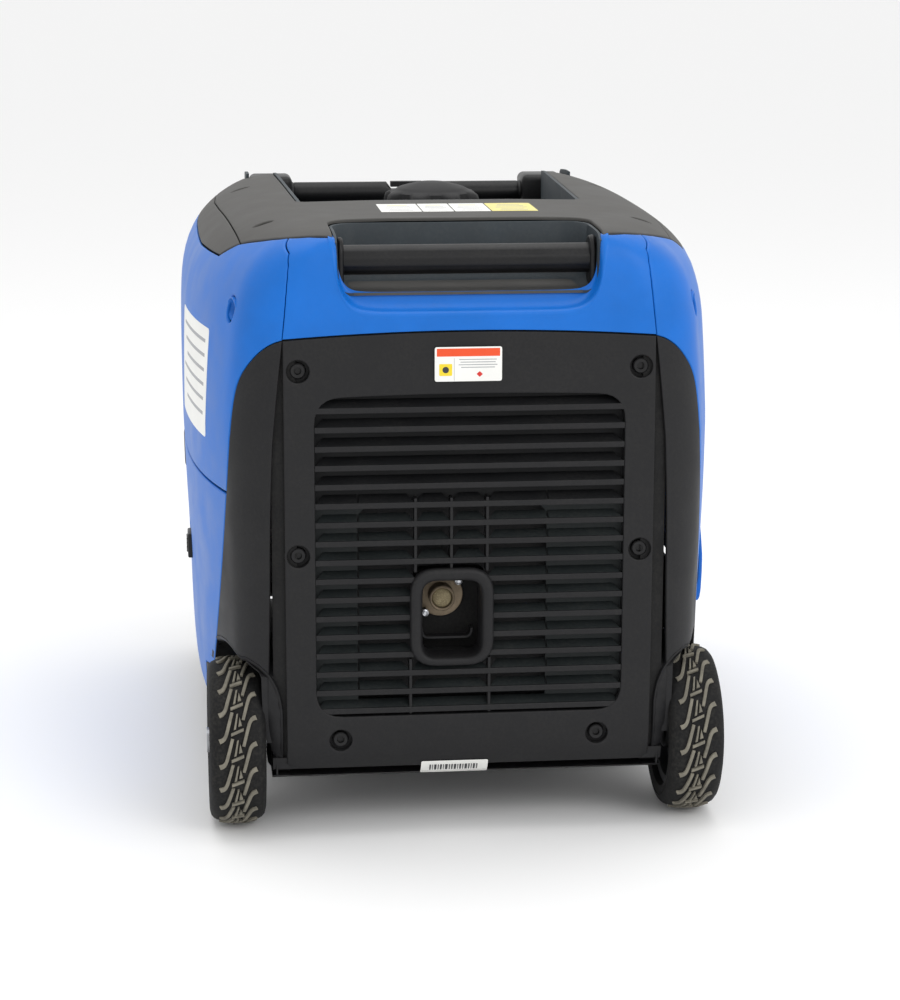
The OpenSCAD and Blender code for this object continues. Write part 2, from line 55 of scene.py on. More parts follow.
def cad(node):
    """Lowest and highest corner of a CAD node, in millimetres."""
    low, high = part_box(node)
    return np.array(low) / MM, np.array(high) / MM


# ---------------------------------------------------------------- the casing's form

HALF_W, HALF_L, MID_Y, TOP = 225.0, 303.5, 6.5, 496.0
REAR_Y = MID_Y - HALF_L
WIDEST_Y = 50  # where the bowed sides are widest
WHEEL = (cad("left_tyre")[0] + cad("left_tyre")[1]) / 2
WHEEL_X, WHEEL_Y, WHEEL_R = -WHEEL[0], WHEEL[1], WHEEL[2]
ARCH_R = WHEEL_R + 12


def softened(points, rounds=3):
    """An open line with its corners cut away, for smooth profiles."""
    line = np.array(points, float)
    for _ in range(rounds):
        near, far = 0.75 * line[:-1] + 0.25 * line[1:], 0.25 * line[:-1] + 0.75 * line[1:]
        line = np.vstack([line[:1], np.stack([near, far], 1).reshape(-1, 2), line[-1:]])
    return line


# share of the full width or length at each height
SIDE_SHARE = softened([(46, .815), (56, .905), (78, .96), (110, .973), (165, .978), (210, .985),
                       (250, .994), (300, 1), (400, 1), (434, .985), (458, .943), (476, .872),
                       (488, .78), (494.5, .65), (TOP, .3)])
REAR_SHARE = softened([(46, .92), (52, .965), (72, 1), (120, 1), (412, 1), (470, .975), (485, .957),
                       (493, .93), (495.7, .89), (TOP, .8)])
FRONT_SHARE = softened([(46, .91), (56, .965), (80, .99), (120, 1), (400, 1), (455, .987),
                        (478, .965), (491, .88), (TOP, .62)])


def share(table, z):
    return np.interp(z, table[:, 0], table[:, 1])


def width_share(y, z):
    """Share of the full width at a place along the side, drawn in at the top towards both ends."""
    ahead = np.asarray(y, float) - WIDEST_Y
    rear = np.clip(-ahead / 300, 0, 1) ** 2 * np.interp(z, [330, 400, 440, 470], [0, 0.022, 0.03, 0.02])
    front = np.clip(ahead / 220, 0, 1) ** 2 * np.interp(z, [400, 460, 485], [0, 0.03, 0.045])
    return share(SIDE_SHARE, z) * (1 - rear - front)


def barrel(y):
    """Half width of the bowed sides."""
    return HALF_W - np.where(y > WIDEST_Y, 55, 37) * (np.abs(y - WIDEST_Y) / 330) ** 3.2


def plan_gap(x, y):
    """Below zero inside the casing's plan outline, above zero outside it."""
    corner = np.where(y < MID_Y, 34.0, 44.0)
    across = np.abs(x) - barrel(y) + corner
    along = np.abs(y - MID_Y) - HALF_L + corner
    outside = np.hypot(np.maximum(across, 0), np.maximum(along, 0))
    return outside + np.minimum(np.maximum(across, along), 0) - corner


def halved(low, high, is_inside, steps=36):
    """The edge between an inside low value and an outside high value, by halving."""
    for _ in range(steps):
        middle = (low + high) / 2
        inside = is_inside(middle)
        low, high = np.where(inside, middle, low), np.where(inside, high, middle)
    return low


# the plan outline at full width and length, as points and as distance run along it
RING_COUNT = 1500
RING_TURN = np.linspace(0, math.pi, RING_COUNT)
RING_R = halved(np.zeros(RING_COUNT), np.full(RING_COUNT, 600.0),
                lambda r: plan_gap(r * np.sin(RING_TURN), MID_Y - r * np.cos(RING_TURN)) < 0)
RING_X, RING_Y = RING_R * np.sin(RING_TURN), MID_Y - RING_R * np.cos(RING_TURN)
RING_S = np.concatenate([[0], np.cumsum(np.hypot(np.diff(RING_X), np.diff(RING_Y)))])
RING_WIDEST = int(np.argmax(RING_X))


def wrap(s, z):
    """A point on the casing: s runs round it from the middle of the rear face, +X first."""
    s, z = np.asarray(s, float), np.asarray(z, float)
    y = np.interp(np.abs(s), RING_S, RING_Y)
    x = np.interp(np.abs(s), RING_S, RING_X) * np.sign(s) * width_share(y, z)
    length_share = np.where(y < MID_Y, share(REAR_SHARE, z), share(FRONT_SHARE, z))
    return np.stack([x, MID_Y + (y - MID_Y) * length_share, z], -1)


def at_x(x, z):
    """Round-the-casing place of a point on the rear half, given by its x and z."""
    found = RING_X[:RING_WIDEST] * width_share(RING_Y[:RING_WIDEST], z)
    return float(np.interp(abs(x), np.maximum.accumulate(found), RING_S[:RING_WIDEST]))


def at_y(y, z):
    """Round-the-casing place of a point on the side, given by its y and z."""
    table = REAR_SHARE if y < MID_Y else FRONT_SHARE
    return float(np.interp(MID_Y + (y - MID_Y) / share(table, z), RING_Y, RING_S))


def end_face(x, z):
    """A point on the exhaust end, given by its x and z."""
    wide = width_share(REAR_Y, z)
    return wrap(np.interp(np.abs(x) / wide, RING_X[:RING_WIDEST], RING_S[:RING_WIDEST]) * np.sign(x), z)


def crown(x, y):
    """A point on the top, given in plan."""
    x, y = np.asarray(x, float), np.asarray(y, float)

    def inside(z):
        length_share = np.where(y < MID_Y, share(REAR_SHARE, z), share(FRONT_SHARE, z))
        return plan_gap(x / width_share(y, z), MID_Y + (y - MID_Y) / length_share) < 0
    z = halved(np.full(x.shape, 400.0), np.full(x.shape, TOP), inside)
    return np.stack([x, y, z], -1)


# ---------------------------------------------------------------- flat outlines

def bend(a, b, c, count):
    """Points on the curve from a to c that leans towards b."""
    t = np.linspace(0, 1, count)[:, None]
    return (1 - t) ** 2 * np.array(a) + 2 * t * (1 - t) * np.array(b) + t ** 2 * np.array(c)


def rounded(corners, radius):
    """A closed outline with every corner rounded; radius is one value or one per corner."""
    corners = np.array(corners, float)
    radii = np.broadcast_to(radius, len(corners))
    out = []
    for i, here in enumerate(corners):
        before, after = corners[i - 1] - here, corners[(i + 1) % len(corners)] - here
        a, b = np.linalg.norm(before), np.linalg.norm(after)
        cut = min(radii[i], 0.48 * a, 0.48 * b)
        if cut < 0.05:
            out.append(here[None])
            continue
        out.append(bend(here + before / a * cut, here, here + after / b * cut, 7))
    return np.vstack(out)


def box_outline(cx, cz, w, h, radius):
    return rounded([(cx - w / 2, cz - h / 2), (cx + w / 2, cz - h / 2), (cx + w / 2, cz + h / 2),
                    (cx - w / 2, cz + h / 2)], radius)


def disc_outline(cx, cz, radius, count=36):
    turn = np.linspace(0, 2 * math.pi, count, endpoint=False)
    return np.stack([cx + radius * np.cos(turn), cz + radius * np.sin(turn)], -1)


def spaced(outline, step):
    """The same closed outline with no stretch longer than step."""
    out = []
    for a, b in zip(outline, np.roll(outline, -1, 0)):
        count = max(1, int(math.ceil(np.linalg.norm(b - a) / step)))
        out += [a + (b - a) * k / count for k in range(count)]
    return np.array(out)


def turned_left(outline):
    """The outline run anticlockwise."""
    x, z = outline.T
    area = np.sum(x * np.roll(z, -1) - np.roll(x, -1) * z)
    return outline if area > 0 else outline[::-1]


def inset(outline, depth):
    """A closed anticlockwise outline drawn in by depth, or out where depth is negative."""
    ahead = np.roll(outline, -1, 0) - outline
    ahead /= np.maximum(np.linalg.norm(ahead, axis=1, keepdims=True), 1e-9)
    left = np.stack([-ahead[:, 1], ahead[:, 0]], -1)
    joint = left + np.roll(left, 1, 0)
    size = np.linalg.norm(joint, axis=1, keepdims=True)
    joint = joint / np.maximum(size, 0.3)
    return outline + joint * depth * np.minimum(2 / np.maximum(size, 0.3), 1.8)


def holds(outline, points):
    """True for each point inside the closed outline."""
    x, z = points[:, 0:1], points[:, 1:2]
    ax, az = outline[:, 0], outline[:, 1]
    bx, bz = np.roll(ax, -1), np.roll(az, -1)
    crossing = (az > z) != (bz > z)
    reach = ax + (z - az) * (bx - ax) / np.where(bz == az, 1e-12, bz - az)
    return (np.sum(crossing & (x < reach), 1) % 2) == 1


def edge_distance(outline, points):
    a, b = outline[None], np.roll(outline, -1, 0)[None]
    p = points[:, None]
    along = b - a
    t = np.sum((p - a) * along, -1) / np.maximum(np.sum(along ** 2, -1), 1e-12)
    near = a + np.clip(t, 0, 1)[..., None] * along
    return np.min(np.linalg.norm(p - near, axis=-1), 1)


def stroke(points, widths):
    """The outline of a thick open line whose width changes along it."""
    line, half = np.array(points, float), np.array(widths, float)[:, None] / 2
    ahead = np.gradient(line, axis=0)
    ahead /= np.linalg.norm(ahead, axis=1, keepdims=True)
    left = np.stack([-ahead[:, 1], ahead[:, 0]], -1)
    return np.vstack([line + left * half, (line - left * half)[::-1]])


# ---------------------------------------------------------------- meshes

def piece(name, verts, faces, slot, body="root", instead_of=(), sharp=38, finish=None):
    """A shown piece from millimetre points, riding on a body, in a slot's finish."""
    mesh = bpy.data.meshes.new(name)
    mesh.from_pydata((np.asarray(verts, float) * MM).tolist(), [], [list(map(int, f)) for f in faces])
    mesh.validate()
    shell = bmesh.new()
    shell.from_mesh(mesh)
    bmesh.ops.recalc_face_normals(shell, faces=shell.faces)
    shell.to_mesh(mesh)
    shell.free()
    mesh.polygons.foreach_set("use_smooth", [True] * len(mesh.polygons))
    mesh.set_sharp_from_angle(angle=math.radians(sharp))
    mesh.update()
    obj = bpy.data.objects.new(name, mesh)
    bpy.context.scene.collection.objects.link(obj)
    mesh.materials.append(finish or FINISH[slot])
    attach(obj, body)
    if instead_of:
        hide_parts(*instead_of)
    return obj


class Build:
    """Gathers several solids into one mesh."""

    def __init__(self):
        self.verts, self.faces, self.count = [], [], 0

    def add(self, verts, faces):
        verts = np.asarray(verts, float).reshape(-1, 3)
        self.faces += [[int(i) + self.count for i in f] for f in faces]
        self.verts.append(verts)
        self.count += len(verts)
        return self

    def done(self, name, slot, **more):
        return piece(name, np.vstack(self.verts), self.faces, slot, **more)


def moulded(outline, surface, holes=(), thick=2.6, roll=1.2, step=8.0, gap=0.0):
    """A moulded panel: a flat outline laid on a surface, with rolled edges and a real thickness."""
    outer = inset(turned_left(spaced(np.asarray(outline, float), step * 0.6)), gap)
    inner = [turned_left(spaced(np.asarray(h, float), step * 0.6)) for h in holes]
    rings = [0, 0.12 * roll, 0.4 * roll, roll, roll * 1.6]
    points, edges = [], []
    for loop, side in [(outer, 1)] + [(h, -1) for h in inner]:
        for depth in rings:
            start, ring = len(points), inset(loop, side * depth)
            points += ring.tolist()
            edges += [(start + i, start + (i + 1) % len(ring)) for i in range(len(ring))]
    low, high = outer.min(0), outer.max(0)
    gx, gz = np.meshgrid(np.arange(low[0] + step / 2, high[0], step),
                         np.arange(low[1] + step / 2, high[1], step))
    gx[::2] += step / 2
    grid = np.stack([gx.ravel(), gz.ravel()], -1)
    if len(grid):
        clear = holds(outer, grid) & (edge_distance(outer, grid) > roll * 1.6 + step * 0.35)
        for h in inner:
            clear &= ~holds(h, grid) & (edge_distance(h, grid) > roll * 1.6 + step * 0.35)
        points += grid[clear].tolist()
    flat, _, tris, *_ = delaunay_2d_cdt([Vector(p) for p in points], edges, [], 0, 1e-5)
    flat = np.array([tuple(p) for p in flat])
    tris = np.array([list(t) for t in tris])
    middle = flat[tris].mean(1)
    keep = holds(outer, middle)
    for h in inner:
        keep &= ~holds(h, middle)
    tris = tris[keep]
    reach = edge_distance(outer, flat)
    for h in inner:
        reach = np.minimum(reach, edge_distance(h, flat))
    short = np.clip(roll - reach, 0, roll)
    drop = roll - np.sqrt(np.maximum(roll ** 2 - short ** 2, 0))
    place = surface(flat[:, 0], flat[:, 1])
    tiny = 0.05
    du = surface(flat[:, 0] + tiny, flat[:, 1]) - surface(flat[:, 0] - tiny, flat[:, 1])
    dv = surface(flat[:, 0], flat[:, 1] + tiny) - surface(flat[:, 0], flat[:, 1] - tiny)
    normal = np.cross(du, dv)
    normal /= np.maximum(np.linalg.norm(normal, axis=1, keepdims=True), 1e-12)
    front, back = place - normal * drop[:, None], place - normal * thick
    count = len(flat)
    sides = {}
    for a, b, c in tris:
        for edge in ((a, b), (b, c), (c, a)):
            sides[edge] = sides.get(edge, 0) + 1
    faces = [list(t) for t in tris] + [[c + count, b + count, a + count] for a, b, c in tris]
    faces += [[b, a, a + count, b + count] for a, b in sides if (b, a) not in sides]
    return np.vstack([front, back]), faces


def panel(name, outline, surface, slot, body="root", instead_of=(), finish=None, **shape):
    """One moulded panel as a piece of its own."""
    return piece(name, *moulded(outline, surface, **shape), slot, body, instead_of, finish=finish)


def lofted(rings, closed=True, ends=True):
    """Faces over a stack of equal rings of points."""
    rings = np.asarray(rings, float)
    levels, count = rings.shape[:2]
    faces = []
    for j in range(levels - 1):
        for i in range(count if closed else count - 1):
            a, b = j * count + i, j * count + (i + 1) % count
            faces.append([a, b, b + count, a + count])
    if ends and closed:
        faces.append(list(range(count))[::-1])
        faces.append([(levels - 1) * count + i for i in range(count)])
    return rings.reshape(-1, 3), faces


def revolved(profile, centre, axis="X", count=72):
    """A turned solid from (radius, along) pairs; the profile is closed."""
    profile = np.array(profile, float)
    turn = np.linspace(0, 2 * math.pi, count, endpoint=False)
    r, along = profile[:, 0][None], profile[:, 1][None]
    c, s = np.cos(turn)[:, None], np.sin(turn)[:, None]
    if axis == "X":
        xyz = np.stack([along + 0 * c, r * c, r * s], -1)
    elif axis == "Y":
        xyz = np.stack([r * s, along + 0 * c, r * c], -1)
    else:
        xyz = np.stack([r * c, r * s, along + 0 * c], -1)
    xyz = xyz + np.asarray(centre)
    n = profile.shape[0]
    faces = []
    for i in range(count):
        for j in range(n):
            a, b = i * n + j, i * n + (j + 1) % n
            c2, d = ((i + 1) % count) * n + (j + 1) % n, ((i + 1) % count) * n + j
            faces.append([a, d, c2, b])
    return xyz.reshape(-1, 3), faces


def flat_wall(y):
    """A surface that faces the exhaust end at y."""
    return lambda x, z: np.stack([x, np.full_like(x, y), z], -1)


def level(z):
    """A surface that faces up at height z."""
    return lambda x, y: np.stack([x, y, np.full_like(x, z)], -1)


def unwrap(point):
    """Where a point on the casing lies: its s and z."""
    x, y, z = point
    length_share = float(share(REAR_SHARE if y < MID_Y else FRONT_SHARE, z))
    turn = math.atan2(abs(x) / float(width_share(y, z)), -(y - MID_Y) / length_share)
    return float(np.interp(turn, RING_TURN, RING_S)) * (1 if x >= 0 else -1), z


def soft_box(centre, size, radius, cuts=3):
    """A block with rounded edges."""
    half = np.array(size, float) / 2 - radius
    signs, faces = [], []
    grid = np.linspace(-1, 1, 2 * cuts + 2)
    index = {}

    def corner(i, j, k):
        key = (i, j, k)
        if key not in index:
            unit = np.array([grid[i], grid[j], grid[k]])
            index[key] = len(signs)
            core = np.sign(unit) * half
            away = unit / np.linalg.norm(unit)
            signs.append(core + away * radius)
        return index[key]
    last = len(grid) - 1
    for a in range(last):
        for b in range(last):
            for side in (0, last):
                for quad in ([(side, a, b), (side, a + 1, b), (side, a + 1, b + 1), (side, a, b + 1)],
                             [(a, side, b), (a, side, b + 1), (a + 1, side, b + 1), (a + 1, side, b)],
                             [(a, b, side), (a + 1, b, side), (a + 1, b + 1, side), (a, b + 1, side)]):
                    ids = [corner(*q) for q in quad]
                    faces.append(ids if side else ids[::-1])
    return np.array(signs) + np.array(centre), faces


# ---------------------------------------------------------------- finishes

def linear(r, g, b):
    """A colour given in 0 to 255, as the shader wants it."""
    def one(v):
        v /= 255
        return v / 12.92 if v <= 0.04045 else ((v + 0.055) / 1.055) ** 2.4
    return one(r), one(g), one(b), 1.0


def group(name, inputs, outputs):
    """A shader node group with named sockets, its input and output nodes, and a maker of nodes."""
    tree = bpy.data.node_groups.new(name, "ShaderNodeTree")
    for label, kind, value in inputs:
        tree.interface.new_socket(label, in_out="INPUT", socket_type=kind).default_value = value
    for label, kind in outputs:
        tree.interface.new_socket(label, in_out="OUTPUT", socket_type=kind)
    return tree, tree.nodes.new("NodeGroupInput"), tree.nodes.new("NodeGroupOutput")


def node(tree, kind, links=None, **settings):
    """One node, its settings, and what feeds its inputs."""
    made = tree.nodes.new("ShaderNode" + kind)
    for key, value in settings.items():
        setattr(made, key, value)
    for key, value in (links or {}).items():
        if isinstance(value, bpy.types.NodeSocket):
            tree.links.new(value, made.inputs[key])
        else:
            made.inputs[key].default_value = value
    return made


FLOAT, COLOUR, VECTOR = "NodeSocketFloat", "NodeSocketColor", "NodeSocketVector"


def spark_grain():
    """Fine spark-eroded mould texture: a height, and a slow drift of tone."""
    tree, given, out = group("spark_grain", [("Size", FLOAT, 0.9), ("Drift", FLOAT, 40.0)],
                             [("Height", FLOAT), ("Tone", FLOAT)])
    where = node(tree, "TexCoord").outputs["Object"]
    per_metre = node(tree, "Math", {0: 1000.0, 1: given.outputs["Size"]}, operation="DIVIDE").outputs[0]
    pits = node(tree, "TexVoronoi", {"Vector": where, "Scale": per_metre}, feature="SMOOTH_F1")
    fuzz = node(tree, "TexNoise", {"Vector": where, "Scale": per_metre, "Detail": 3.0, "Roughness": 0.6})
    height = node(tree, "Math", {0: pits.outputs["Distance"], 1: fuzz.outputs["Fac"], 2: 0.1},
                  operation="MULTIPLY_ADD")
    slow = node(tree, "Math", {0: 1000.0, 1: given.outputs["Drift"]}, operation="DIVIDE").outputs[0]
    cloud = node(tree, "TexNoise", {"Vector": where, "Scale": slow, "Detail": 4.0, "Roughness": 0.55})
    tree.links.new(height.outputs[0], out.inputs["Height"])
    tree.links.new(cloud.outputs["Fac"], out.inputs["Tone"])
    return tree


def settled_dust():
    """Where dust lies: more on what faces up, broken up by specks."""
    tree, given, out = group("settled_dust", [("Amount", FLOAT, 0.1), ("Upward", FLOAT, 0.6)],
                             [("Mask", FLOAT)])
    where = node(tree, "TexCoord").outputs["Object"]
    cloud = node(tree, "TexNoise", {"Vector": where, "Scale": 26.0, "Detail": 8.0, "Roughness": 0.7})
    specks = node(tree, "TexNoise", {"Vector": where, "Scale": 420.0, "Detail": 2.0})
    both = node(tree, "Math", {0: cloud.outputs["Fac"], 1: specks.outputs["Fac"]}, operation="MULTIPLY")
    spread = node(tree, "MapRange", {"Value": both.outputs[0], "From Min": 0.2, "From Max": 0.42})
    facing = node(tree, "SeparateXYZ", {0: node(tree, "NewGeometry").outputs["Normal"]}).outputs["Z"]
    up = node(tree, "MapRange", {"Value": facing, "From Min": -0.1, "From Max": 1.0})
    lean = node(tree, "Mix", {0: given.outputs["Upward"], 2: 1.0, 3: up.outputs[0]}, data_type="FLOAT")
    part = node(tree, "Math", {0: spread.outputs[0], 1: lean.outputs[0]}, operation="MULTIPLY")
    mask = node(tree, "Math", {0: part.outputs[0], 1: given.outputs["Amount"]}, operation="MULTIPLY",
                use_clamp=True)
    tree.links.new(mask.outputs[0], out.inputs["Mask"])
    return tree


def rubbed_edges():
    """Where edges have been rubbed pale and smooth."""
    tree, given, out = group("rubbed_edges", [("Amount", FLOAT, 0.3)], [("Mask", FLOAT)])
    where = node(tree, "TexCoord").outputs["Object"]
    sharpness = node(tree, "NewGeometry").outputs["Pointiness"]
    edge = node(tree, "MapRange", {"Value": sharpness, "From Min": 0.53, "From Max": 0.62})
    broken = node(tree, "TexNoise", {"Vector": where, "Scale": 70.0, "Detail": 6.0, "Roughness": 0.7})
    some = node(tree, "MapRange", {"Value": broken.outputs["Fac"], "From Min": 0.35, "From Max": 0.65})
    both = node(tree, "Math", {0: edge.outputs[0], 1: some.outputs[0]}, operation="MULTIPLY")
    mask = node(tree, "Math", {0: both.outputs[0], 1: given.outputs["Amount"]}, operation="MULTIPLY",
                use_clamp=True)
    tree.links.new(mask.outputs[0], out.inputs["Mask"])
    return tree


GRAIN, DUST, RUBBED = spark_grain(), settled_dust(), rubbed_edges()


def placed(tree, group_tree, **values):
    """A shared effect in one finish, with its own settings."""
    made = tree.nodes.new("ShaderNodeGroup")
    made.node_tree = group_tree
    for key, value in values.items():
        made.inputs[key].default_value = value
    return made


def mixed(tree, factor, a, b):
    """A colour between two."""
    made = node(tree, "Mix", data_type="RGBA")
    for socket, value in zip((made.inputs[0], made.inputs[6], made.inputs[7]), (factor, a, b)):
        if isinstance(value, bpy.types.NodeSocket):
            tree.links.new(value, socket)
        else:
            socket.default_value = value
    return made.outputs[2]


def finish(name, colour, rough, grain=0.9, depth=0.03, drift=40.0, vary=0.08, dust=0.08, upward=0.6,
           rub=0.25, dust_colour=(150, 146, 136), more=None, **shader):
    """A moulded, painted or cast finish: grain, tone drift, settled dust and rubbed edges."""
    material = bpy.data.materials.new(name)
    material.use_nodes = True
    tree = material.node_tree
    tree.nodes.clear()
    grains = placed(tree, GRAIN, Size=grain, Drift=drift)
    base, deep, pale = (linear(*[min(255, c * k) for c in colour]) for k in (1, 1 - vary, 1 + vary))
    tone = node(tree, "MapRange", {"Value": grains.outputs["Tone"], "From Min": 0.3, "From Max": 0.7})
    body = mixed(tree, tone.outputs[0], deep, pale)
    if more:
        body = more(tree, body)
    rubbed = placed(tree, RUBBED, Amount=rub)
    worn = linear(*[min(255, c * 1.5 + 22) for c in colour])
    body = mixed(tree, rubbed.outputs["Mask"], body, worn)
    dusty = placed(tree, DUST, Amount=dust, Upward=upward)
    body = mixed(tree, dusty.outputs["Mask"], body, linear(*dust_colour))
    smooth = node(tree, "MapRange", {"Value": grains.outputs["Tone"], "From Min": 0.3, "From Max": 0.7,
                                     "To Min": max(rough - 0.05, 0), "To Max": min(rough + 0.06, 1)})
    dulled = node(tree, "Math", {0: dusty.outputs["Mask"], 1: 0.4, 2: smooth.outputs[0]},
                  operation="MULTIPLY_ADD", use_clamp=True)
    bump = node(tree, "Bump", {"Height": grains.outputs["Height"], "Strength": 0.6, "Distance": depth * MM})
    links = {"Base Color": body, "Roughness": dulled.outputs[0], "Normal": bump.outputs["Normal"]}
    links.update({key.replace("_", " "): value for key, value in shader.items()})
    surface = node(tree, "BsdfPrincipled", links)
    node(tree, "OutputMaterial", {"Surface": surface.outputs[0]})
    return material


FINISH = {
    "casing_blue": finish("casing_blue", (0, 100, 190), 0.42, grain=0.7, depth=0.02, vary=0.03, dust=0.02,
                          rub=0.08, Specular_IOR_Level=0.3),
    "casing_black": finish("casing_black", (20, 20, 22), 0.55, grain=0.9, depth=0.05, vary=0.06, dust=0.03,
                           rub=0.12, Specular_IOR_Level=0.3),
    "cover_grey": finish("cover_grey", (70, 69, 67), 0.62, grain=1.0, depth=0.05, vary=0.05, dust=0.05,
                         rub=0.12, Specular_IOR_Level=0.3),
    "liner_grey": finish("liner_grey", (50, 57, 62), 0.58, grain=1.2, depth=0.04, dust=0.06, rub=0.1,
                         Specular_IOR_Level=0.3),
    "tube_black": finish("tube_black", (14, 14, 16), 0.4, grain=0.6, depth=0.02, dust=0.03, rub=0.12,
                         Specular_IOR_Level=0.3),
    "tyre_rubber": finish("tyre_rubber", (15, 15, 16), 0.72, grain=0.8, depth=0.06, dust=0.06, upward=0.2,
                          rub=0.1, Specular_IOR_Level=0.25),
    "rim_plastic": finish("rim_plastic", (30, 31, 34), 0.5, grain=0.8, depth=0.03, rub=0.12),
    "foot_rubber": finish("foot_rubber", (17, 17, 18), 0.8, grain=0.9, depth=0.06, dust=0.15, upward=0.3),
    "bright_steel": finish("bright_steel", (178, 180, 184), 0.28, grain=0.5, depth=0.01, dust=0.05, rub=0.1,
                           Metallic=1.0),
    "engine_alloy": finish("engine_alloy", (150, 153, 157), 0.5, grain=0.8, depth=0.05, dust=0.1, rub=0.2,
                           Metallic=0.9),
    "heat_steel": finish("heat_steel", (120, 108, 92), 0.55, grain=0.7, depth=0.03, vary=0.2, dust=0.25,
                         upward=0.1, Metallic=0.8, dust_colour=(92, 84, 66)),
    "winding_copper": finish("winding_copper", (164, 92, 52), 0.4, grain=0.6, depth=0.04, Metallic=0.9),
    "ceramic_white": finish("ceramic_white", (222, 218, 208), 0.25, grain=0.8, depth=0.01, rub=0.0),
    "fascia_grey": finish("fascia_grey", (58, 61, 66), 0.5, grain=0.8, depth=0.03),
    "lid_grey": finish("lid_grey", (84, 87, 92), 0.45, grain=0.8, depth=0.03),
    "switch_red": finish("switch_red", (206, 32, 36), 0.35, grain=0.6, depth=0.015, dust=0.04, rub=0.1),
    "screen_grey": finish("screen_grey", (92, 104, 98), 0.12, grain=0.4, depth=0.004, dust=0.02, rub=0.0,
                          Coat_Weight=0.6),
    "terminal_brass": finish("terminal_brass", (200, 172, 96), 0.3, grain=0.5, depth=0.01, Metallic=1.0),
    "label_film": finish("label_film", (232, 232, 228), 0.38, grain=0.5, depth=0.005, vary=0.02, dust=0.04,
                         rub=0.0),
    "battery_case": finish("battery_case", (28, 30, 36), 0.5, grain=0.8, depth=0.03),
}
LUG = finish("scuffed_lug", (112, 108, 97), 0.85, grain=0.7, depth=0.08, drift=9.0, vary=0.14, dust=0.25,
             upward=0.0, rub=0.1, dust_colour=(146, 141, 128))
# raked slat faces in two copies of one finish: the lighter one paints light on the lower rows and the lower
# backing sheet, the darker one paints shade on the upper rows and the upper backing sheet
RAKE_PAINTED_LIGHT = finish("raked_face", (24, 29, 30), 0.6, grain=0.9, depth=0.04, dust=0.03, rub=0.0,
              Specular_IOR_Level=0.3)
RAKE_PAINTED_SHADE = finish("raked_face_painted_shade", (15, 16, 18), 0.62, grain=0.9, depth=0.04, dust=0.02, rub=0.0,
                   Specular_IOR_Level=0.25)
INKS = {"orange": (226, 74, 22), "yellow": (232, 206, 40), "grey": (150, 152, 156), "red": (204, 38, 30),
        "pale_yellow": (226, 214, 120), "dark": (44, 46, 50)}
PRINT = {name: finish("print_" + name, colour, 0.4, grain=0.5, depth=0.004, vary=0.02, dust=0.03, rub=0.0)
         for name, colour in INKS.items()}
# near-black finish: soot on the exhaust well and shield posts, and painted shade on the ribs behind the seams
SOOT_AND_PAINTED_SHADE = finish("soot_and_painted_shade_black", (9, 9, 10), 0.9, grain=1.2, depth=0.05, dust=0.05)
for row in frame["record"]["subparts"]:
    if row["node"] in frame["nodes"]:
        mesh = frame["nodes"][row["node"]].data
        mesh.materials.clear()
        mesh.materials.append(FINISH[row["material_slot"]])

# ---------------------------------------------------------------- lines that the panels share

SEAM, GAP = 0.8, 0.4
COVER_X, COVER_TOP, COVER_CROWN = 149.0, 411.5, 417.0
COVER_FOOT, SHELL_FOOT = 57.5, 53.0
FRONT_SEAM_Y = 268.4
MOUTH_X, MOUTH_BACK = 107.5, -196.5
RAIL_LINE = [(178, -196), (182, -125), (185.4, -55), (190, 40), (192.3, 109), (190, 180), (182, 268)]
FLANK_LINE = softened([(COVER_X, COVER_TOP), (158, 408.5), (168, 401), (176, 391), (182.5, 380), (187, 364),
                       (191, 330), (194, 280), (199, 200), (205, 120)], 2)


def filled(points, step=9.0):
    """The same open line with more points along its long stretches."""
    line = [tuple(points[0])]
    for a, b in zip(points[:-1], points[1:]):
        count = max(1, round(math.hypot(b[0] - a[0], b[1] - a[1]) / step))
        line += [tuple(np.array(a) + (np.array(b) - np.array(a)) * k / count) for k in range(1, count + 1)]
    return line


def rear_line(points):
    """Points given by x and z on the exhaust end, as s and z."""
    return [(at_x(x, z) * (1 if x >= 0 else -1), z) for x, z in filled(points)]


def rear_loop(points):
    """A closed outline given by x and z on the exhaust end, as s and z."""
    points = [tuple(q) for q in points]
    return np.array(rear_line(points + points[:1])[:-1])


def side_line(points):
    """Points given by y and z on the right side, as s and z."""
    return [(at_y(y, z), z) for y, z in filled(points)]


def mirror(points):
    """The same open line on the other side, run so that the outline keeps its sense."""
    return [(-a, b) for a, b in points][::-1]


SHOULDER = filled([(154, 490.6), (167, 491.2), (182, 490.2), (196, 488.5), (215, 486), (233, 483), (252, 480),
                   (271, 476.5)])
SHOULDER_SIDE = filled([(299.5, 464), (370, 462)]) + side_line([(y, 460.5) for y in (-60, 20, 140, 220, 268)])
REAR_SEAM = rear_line([(COVER_X, COVER_TOP), (147, 430), (144, 460), (141, 488.4)])
FLANK_EDGE = rear_line(FLANK_LINE)


def arch(first, last, grow=0.0, count=14):
    """The wheel arch on the right side, from one turn to another, as s and z."""
    r = ARCH_R + grow
    turns = np.radians(np.linspace(first, last, count))
    return side_line([(WHEEL_Y + r * math.cos(t), WHEEL_R + r * math.sin(t)) for t in turns])


# ---------------------------------------------------------------- exhaust end

